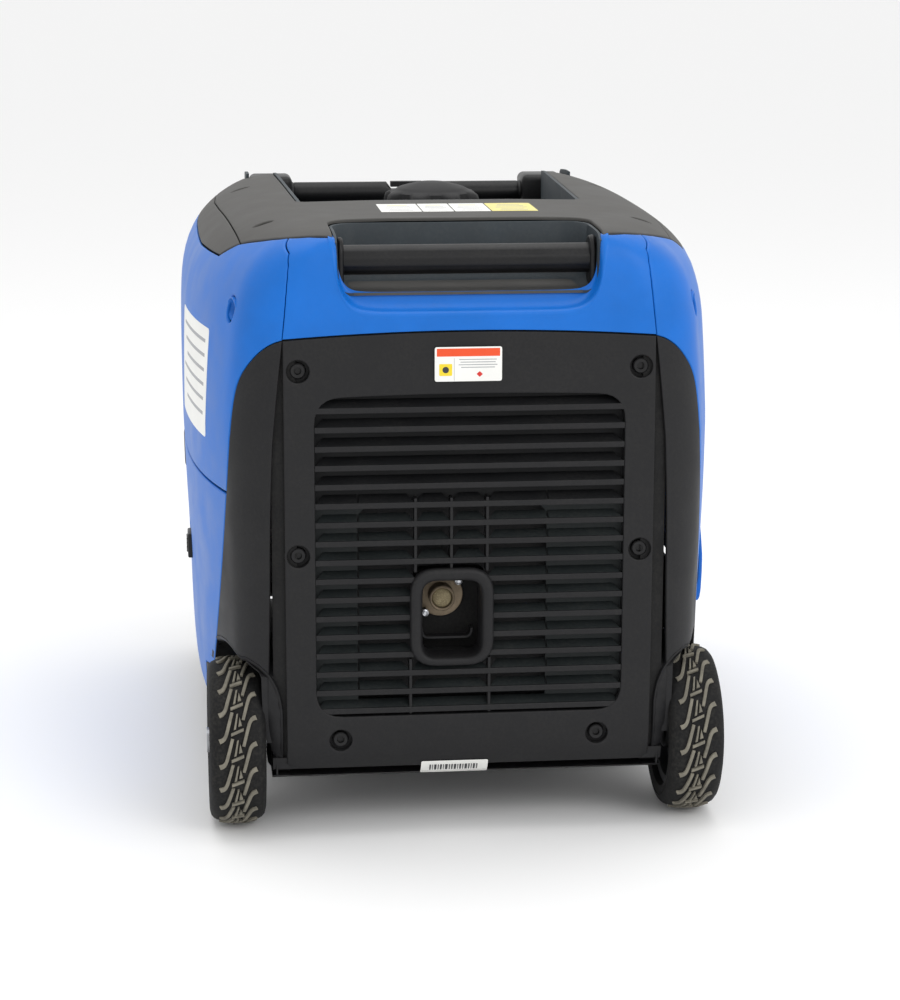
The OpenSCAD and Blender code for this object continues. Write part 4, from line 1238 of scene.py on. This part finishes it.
def lifting_bar():
    """The rear lifting bar with its parting line, between two rounded cheeks."""
    low, high = cad("rear_lift_bar")
    y, z, half = -258.0, 470.0, 98.6
    section = []
    for t in np.linspace(0, 360, 48, endpoint=False):
        a = math.radians(t)
        from_seam = abs(math.degrees(math.atan2(math.sin(a), math.cos(a)))) - 90 - 62
        r = 11.9 - 0.45 * math.exp(-(from_seam / 6) ** 2)
        section.append((r * math.cos(a), r * math.sin(a)))
    build = Build()
    xs = np.concatenate([[-half], np.linspace(-half + 3, half - 3, 12), [half]])
    build.add(*lofted([[(x, y + a, z + b) for a, b in section] for x in xs]))
    cheek = ((98.4, -2.4), (98.9, -1.1), (99.8, -0.3), (101.3, 0), (102.4, -0.4), (103.0, -1.6), (103.1, -2.8))
    for side in (-1, 1):
        rings = []
        for x, grow in cheek:
            ring = rounded([(y - 15 - grow, 446.5 - grow), (y + 11 + grow, 449 - grow),
                            (y + 14 + grow, 486 + grow), (y - 8 - grow, 489.4 + grow),
                            (y - 14 - grow, 480 + grow)], [8, 7, 8, 9, 10])
            rings.append([(side * x, a, b) for a, b in ring])
        build.add(*lofted(rings if side > 0 else [r[::-1] for r in rings]))
    return build.done("lifting_bar", "tube_black", instead_of=["rear_lift_bar"])


def filler_cap():
    """The fuel cap: eight finger lobes round a low crown with a raised rim."""
    low, high = cad("fuel_cap")
    cx, cy, r = 0.0, float((low[1] + high[1]) / 2), 44.0
    top = float(high[2])
    turn = np.linspace(0, 2 * math.pi, 192, endpoint=False)

    def lobes(scale, bite):
        wave = np.clip(np.cos(8 * turn) * 1.6 + 0.3, -1, 1)
        return scale * (r - bite * (0.5 + 0.5 * wave))

    def level_ring(radius, z):
        return np.stack([cx + radius * np.cos(turn), cy + radius * np.sin(turn), np.full(192, z)], -1)
    # height, share of the radius, depth of the finger lobes
    stages = [(471.2, 0.95, 5.6), (472.4, 0.985, 6.0), (476, 0.995, 6.0), (486, 0.995, 6.0),
              (491.5, 0.985, 5.8), (494.2, 0.96, 5.2), (496.0, 0.90, 3.0), (497.4, 0.80, 0.8), (498.2, 0.74, 0),
              (499.2, 0.71, 0), (500.6, 0.64, 0), (502.6, 0.48, 0), (top - 0.4, 0.28, 0), (top, 0.08, 0),
              (top, 0.005, 0)]
    inner = [(489.1, 1), (489.0, 10), (488.9, 32.4), (471.2, 32.6)]
    rings = [level_ring(radius, z) for z, radius in inner]
    rings += [level_ring(lobes(scale, bite), z) for z, scale, bite in stages]
    verts, faces = lofted(rings)
    return piece("filler_cap", verts, faces, "casing_black", "fuel_cap", ["fuel_cap"], sharp=45)


def pull_grip():
    """The pull handle's grip: a soft sleeve with collars and a flat for its button."""
    low, high = cad("handle_grip")
    y, z, half = (low[1] + high[1]) / 2, (low[2] + high[2]) / 2, high[0]
    collar = [(-half, 10.2), (-half + 1, 10.8), (-half + 6, 10.8), (-half + 7, 10.2)]
    sleeve = [(x, 10.6) for x in np.linspace(-half + 8, half - 8, 40)]
    rings = []
    for x, r in collar + sleeve + [(-a, b) for a, b in collar[::-1]]:
        a = np.radians(np.arange(0, 360, 10))
        up = r * np.sin(a)
        if abs(x) < 17:
            up = np.minimum(up, 2.9)
        rings.append(np.stack([np.full(36, x), y + r * np.cos(a), z + up], -1))
    return piece("pull_grip", *lofted(rings), "tube_black", "pull_handle", ["handle_grip"])


def pull_corners():
    """The two moulded corners that join the grip to its rods."""
    low, high = cad("handle_corners")
    for side, word in ((-1, "left"), (1, "right")):
        x0, x1 = 113.0, high[0]
        size = (x1 - x0, high[1] - low[1], high[2] - low[2])
        centre = (side * (x0 + x1) / 2, (low[1] + high[1]) / 2, (low[2] + high[2]) / 2)
        piece(word + "_pull_corner", *soft_box(centre, size, 6.5, cuts=4), "tube_black", "pull_handle",
              ["handle_corners"])


# ---------------------------------------------------------------- wheels

def tread_crown(w):
    """The tyre's outer radius at a distance from its middle, for the raised lugs."""
    return WHEEL_R - 0.02 * np.abs(w) - 0.00034 * np.abs(w) ** 3


def tyre(side):
    """A solid tyre with raised, scuffed lugs round a dark carcass."""
    name = "right" if side > 0 else "left"
    hub = (side * WHEEL_X, WHEEL_Y, WHEEL_R)
    body = [(47.8, -17), (50, -21.5), (54, -22.8), (58.5, -22.9), (62, -21.8), (64.6, -19.6), (66.0, -16.8),
            (66.7, -13), (67.0, -7), (67.1, 0)]
    groove = [(56.5, -22.9), (56.9, -22.2), (57.6, -22.2), (58.0, -22.9)]
    side_half = body[:3] + groove + body[4:]
    profile = side_half + [(r, -x) for r, x in side_half[-2::-1]]
    piece(name + "_tyre_carcass", *revolved(profile, hub, "X", 180), "tyre_rubber", name + "_wheel",
          [name + "_tyre"])
    count = 20
    pitch = 2 * math.pi * WHEEL_R / count

    def on_tread(w, u):
        turn = u / WHEEL_R
        r = tread_crown(w)
        return np.stack([hub[0] + w, hub[1] - r * np.cos(turn), hub[2] + r * np.sin(turn)], -1)
    hook_line = softened([(-15.2, -2.6), (-12.0, -1.4), (-9.8, 1.6), (-8.0, 8.0), (-4.4, 21.5)], 2)
    along = np.linspace(0, 1, len(hook_line))
    hook = stroke(hook_line, np.interp(along, [0, 0.2, 0.45, 1], [4.2, 3.9, 2.9, 2.5]))
    other = [(-w, -u - 7.3) for w, u in hook]
    bar = [(-5.6, 1.4), (4.6, 5.6), (4.6, 8.2), (-5.6, 4.0)]
    slash = [(-3.4, 6.6), (-1.5, 7.4), (0.6, 20.4), (-0.9, 19.8)]
    wedge = [(0.4, 9.2), (3.4, 10.2), (1.6, 17.6)]
    build = Build()
    for shape in (hook, other, bar, slash, wedge):
        verts, faces = moulded(np.array(shape), on_tread, thick=3.6, roll=0.5, step=3.0)
        for k in range(count):
            a = k * pitch / WHEEL_R
            c, s = math.cos(a), math.sin(a)
            rel = verts - hub
            spun = np.stack([rel[:, 0], rel[:, 1] * c + rel[:, 2] * s, -rel[:, 1] * s + rel[:, 2] * c], -1)
            build.add(spun + hub, faces)
    return build.done(name + "_tyre_lugs", "tyre_rubber", body=name + "_wheel", finish=LUG)


def rim(side):
    """A five-spoke rim with a stepped lip and a hub cap."""
    name = "right" if side > 0 else "left"
    hub = np.array((side * WHEEL_X, WHEEL_Y, WHEEL_R))
    dish = [(7.3, -19), (15.5, -19), (17.5, -17.5), (18.5, -6), (37, -6), (40, -8), (42, -16), (47.9, -17),
            (47.9, 17), (44, 18.5), (42, 17.5), (39.5, 8), (36, 2.5), (19, 2.5), (17.5, 14), (15.5, 17),
            (7.3, 17)]
    build = Build()
    build.add(*revolved([(r, side * x) for r, x in (dish if side > 0 else dish[::-1])], hub, "X", 120))
    for k in range(5):
        a = math.radians(90 + 72 * k)
        outline = rounded([(14, -7), (40.5, -4.6), (40.5, 4.6), (14, 7)], 1.5)

        def spoke(u, v, a=a):
            lift = 14.0 - 5.0 * (u - 14) / 27
            return np.stack([hub[0] + side * lift, hub[1] + side * (u * math.cos(a) - v * math.sin(a)),
                             hub[2] + u * math.sin(a) + v * math.cos(a)], -1)
        build.add(*moulded(outline, spoke, thick=11.5, roll=2.0, step=6))
    hub_cap = [(0.01, 17.2), (0.01, 21.4), (8, 21.4), (12.4, 20.2), (14.6, 17.2)][::side]
    build.add(*revolved([(r, side * x) for r, x in hub_cap], hub, "X", 48))
    return build.done(name + "_wheel_rim", "rim_plastic", body=name + "_wheel", instead_of=[name + "_rim"])


def front_feet():
    """Two rubber feet: ribbed cones with a chamfered sole."""
    profile = [(5, 10), (5, 1.2), (6.2, 0), (18.8, 0), (20.6, 1.6), (20.8, 6), (20.0, 7), (20.0, 8.4),
               (20.4, 9.4), (19.8, 14), (19.2, 15), (19.2, 16.4), (19.4, 17.4), (18.4, 32), (17.4, 34),
               (17, 45.6), (5, 45.6)]
    build = Build()
    for side in (-1, 1):
        build.add(*revolved(profile, (side * 150.0, 250.0, 0), "Z", 60))
    return build.done("rubber_feet", "foot_rubber", instead_of=["front_feet"])


# ---------------------------------------------------------------- front end

def front_frame():
    """The black end frame round the socket panel, notched for the pull handle."""
    end = RING_S[-1]
    right_up = side_line([(FRONT_SEAM_Y + SEAM, z) for z in (70, 157, 300, 430, 466, 472)])
    notch_x, rim_z = 160.5, 478.0
    near_front = 6.0

    def on_front(x, z):
        return unwrap((x, float(wrap(end, z)[1]) - near_front, z))[0], z
    half = right_up + [(at_y(278, rim_z), rim_z), on_front(notch_x, rim_z), on_front(notch_x, 452),
                       on_front(notch_x, 424)]

    def across(s, z):
        s = np.asarray(s, float)
        beyond = s > end
        at = wrap(np.where(beyond, 2 * end - s, s), z)
        at[..., 0] = np.where(beyond, -at[..., 0], at[..., 0])
        return at
    outline = half + [(2 * end - s, z) for s, z in half[::-1]]
    opening = [(end + x, z) for x, z in box_outline(0, 300, 316, 236, 18)]
    return panel("front_frame", np.array(outline), across, "casing_black", "root", ["front_panel"],
                 holes=[np.array(opening)], thick=3.6, roll=1.4, step=9, gap=0)


def front_corners():
    """The two caps that close the top of the end frame beside the pull handle's notch."""
    def falling(x, y):
        at = crown(x, y)
        at[..., 2] -= 0.6 + 0.35 * (y - FRONT_SEAM_Y)
        return at
    build = Build()
    for side in (-1, 1):
        start = FRONT_SEAM_Y + 0.6
        outline = [(160.4, start), (182, start), (181, 276), (174, 283), (160.4, 285)]
        if side < 0:
            outline = [(-x, y) for x, y in outline][::-1]
        build.add(*moulded(np.array(outline), falling, thick=3.0, roll=0.9, step=6))
    return build.done("front_corners", "casing_black")


# ---------------------------------------------------------------- plates and stickers

def sticker(name, outline, surface, lift=0.0, thick=0.35, colour=None):
    """A thin printed film on a surface."""
    def raised(u, v):
        at = surface(u, v)
        du, dv = surface(u + 0.1, v) - surface(u - 0.1, v), surface(u, v + 0.1) - surface(u, v - 0.1)
        n = np.cross(du, dv)
        return at + n / np.linalg.norm(n, axis=-1, keepdims=True) * (lift + 0.2)
    return piece(name, *moulded(outline, raised, thick=thick, roll=0.12, step=8), "label_film",
                 finish=PRINT.get(colour))


def end_plate():
    """The small plate above the louvres: header bar, a dot in a square, and ruled lines."""
    face = flat_wall(REAR_Y - 0.1)
    sticker("end_plate", box_outline(-2.1, 391.3, 53.6, 27.6, 2), face)
    sticker("end_plate_header", box_outline(-2.1, 400.7, 50.4, 6.4, 0.3), face, 0.06, colour="orange")
    sticker("end_plate_square", box_outline(-20.2, 386.8, 10.4, 9.6, 0.8), face, 0.06, colour="yellow")
    sticker("end_plate_dot", disc_outline(-20.2, 386.8, 2.6), face, 0.12, colour="dark")
    for k, width in enumerate((30, 28, 31, 27)):
        rule = box_outline(5.5, 395.0 - 2.1 * k, width, 0.7, 0.2)
        sticker(f"end_plate_rule_{k}", rule, face, 0.06, colour="grey")
    spot = rounded([(4.3, 383.2), (6.9, 380.8), (9.5, 383.2), (6.9, 385.6)], 0.6)
    sticker("end_plate_spot", spot, face, 0.06, colour="red")
    sticker("end_plate_divider", box_outline(-13.4, 387, 0.4, 18.0, 0.1), face, 0.06, colour="grey")


def top_strip():
    """The strip on the top cover: three pale cells and one yellow."""
    y0, y1 = -152.0, -92.0
    cells = [-59, -24, 3, 34, 74]
    for k in range(4):
        x0, x1 = cells[k] + 0.5, cells[k + 1] - 0.5
        middle, width = (x0 + x1) / 2, x1 - x0
        cell = box_outline(middle, (y0 + y1) / 2, width, y1 - y0, 1.5)
        sticker(f"top_strip_cell_{k}", cell, crown, colour="pale_yellow" if k == 3 else None)
        for row in range(5):
            mark = box_outline(middle, y1 - 12 - row * 10, width * (0.5 + 0.1 * (row % 3)), 2.2, 0.5)
            ink = "yellow" if k < 3 and row == 0 else "grey"
            sticker(f"top_strip_mark_{k}_{row}", mark, crown, 0.06, colour=ink)


def sill_plate():
    """The narrow plate on the sill, ruled with upright bars of mixed width."""
    sticker("sill_plate", box_outline(-11.5, 55.5, 55, 13, 1.5), end_face, 0.5)
    x = -32.0
    widths = (1.2, 0.6, 1.8, 0.8, 1.4, 0.6, 2.0, 0.9, 1.1, 1.7, 0.6, 1.3, 0.8, 1.9, 1.0, 0.7, 1.5, 0.9)
    for k, width in enumerate(widths):
        bar = box_outline(x + width / 2, 55.5, width, 5.5, 0.1)
        sticker(f"sill_plate_bar_{k}", bar, end_face, 0.56, colour="dark")
        x += width + 1.1


def side_sheet():
    """The large pale sheet on the left side, with its ruled lines."""
    outline = [(-s, z) for s, z in side_line([(-205, 318), (-205, 408), (-60, 408), (-60, 318)])]
    outline = rounded(outline, 4)
    sticker("side_sheet", outline, wrap, 0.1)
    for k in range(6):
        low, high, stop = 395 - k * 12, 398 - k * 12, -80 - (k % 3) * 12
        row = [(-s, z) for s, z in side_line([(-195, low), (-195, high), (stop, high), (stop, low)])]
        sticker(f"side_sheet_rule_{k}", np.array(row), wrap, 0.16, colour="grey")


# ---------------------------------------------------------------- everything

louvred_cover()
louvres()
louvre_backing()
block_uprights()
exhaust_frame()
exhaust_well()
tail_pipe()
shield_screws()
cover_screw_heads()
for side in (-1, 1):
    flank(side)
    side_body(side)
    side_rail(side)
    tyre(side)
    rim(side)
black_sill()
scoop_panel()
left_access_door()
right_access_door()
door_latches()
recoil_handle()
top_skin()
pocket_tub()
lifting_bar()
filler_cap()
pull_grip()
pull_corners()
front_feet()
front_frame()
front_corners()
seam_backing()
end_plate()
top_strip()
sill_plate()
side_sheet()
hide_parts("label_plates")

# ---------------------------------------------------------------- floor, light and camera

def add_light(name, place, aim, size, power):
    """A soft rectangular lamp."""
    data = bpy.data.lights.new(name, "AREA")
    data.shape = "RECTANGLE"
    data.size, data.size_y = size
    data.energy = power
    lamp = bpy.data.objects.new(name, data)
    bpy.context.scene.collection.objects.link(lamp)
    lamp.location = place
    lamp.rotation_euler = (Vector(aim) - Vector(place)).to_track_quat("-Z", "Y").to_euler()
    return lamp


def studio():
    """A pale floor under a white room, with two soft lamps."""
    reach = 40.0
    corners = [(-reach, -reach, 0), (reach, -reach, 0), (reach, reach, 0), (-reach, reach, 0)]
    mesh = bpy.data.meshes.new("studio_floor")
    mesh.from_pydata(corners, [], [(0, 1, 2, 3)])
    floor = bpy.data.objects.new("studio_floor", mesh)
    bpy.context.scene.collection.objects.link(floor)
    pale = bpy.data.materials.new("pale_floor")
    pale.use_nodes = True
    shader = pale.node_tree.nodes["Principled BSDF"]
    shader.inputs["Base Color"].default_value = (0.92, 0.92, 0.92, 1)
    shader.inputs["Roughness"].default_value = 0.9
    mesh.materials.append(pale)
    world = bpy.data.worlds.new("white_room")
    world.use_nodes = True
    room = world.node_tree.nodes["Background"]
    room.inputs["Color"].default_value = (1, 1, 1, 1)
    room.inputs["Strength"].default_value = 0.98
    bpy.context.scene.world = world
    bpy.context.scene.view_settings.view_transform = "Standard"
    add_light("key", (1.6, -2.6, 2.0), (0, -0.1, 0.3), (1.8, 1.4), 26)
    add_light("overhead", (0, 0.2, 2.6), (0, 0, 0.3), (2.4, 2.0), 22)


def camera():
    """A long lens at the exhaust end, a little to the left and above."""
    data = bpy.data.cameras.new("view")
    cam = bpy.data.objects.new("view", data)
    bpy.context.scene.collection.objects.link(cam)
    yaw, pitch, roll = math.radians(6.2635), math.radians(12.547), math.radians(0.139)
    forward = Vector((math.sin(yaw) * math.cos(pitch), math.cos(yaw) * math.cos(pitch), -math.sin(pitch)))
    right = Vector((math.cos(yaw), -math.sin(yaw), 0))
    up = right.cross(forward)
    across = right * math.cos(roll) + up * math.sin(roll)
    upright = up * math.cos(roll) - right * math.sin(roll)
    turn = Matrix((across, upright, -forward)).transposed().to_4x4()
    cam.matrix_world = Matrix.Translation((-0.2403, -2.3361, 0.738)) @ turn
    data.sensor_fit = "VERTICAL"
    data.sensor_height = 36.0
    data.lens = 94.68
    bpy.context.scene.camera = cam


studio()
camera()
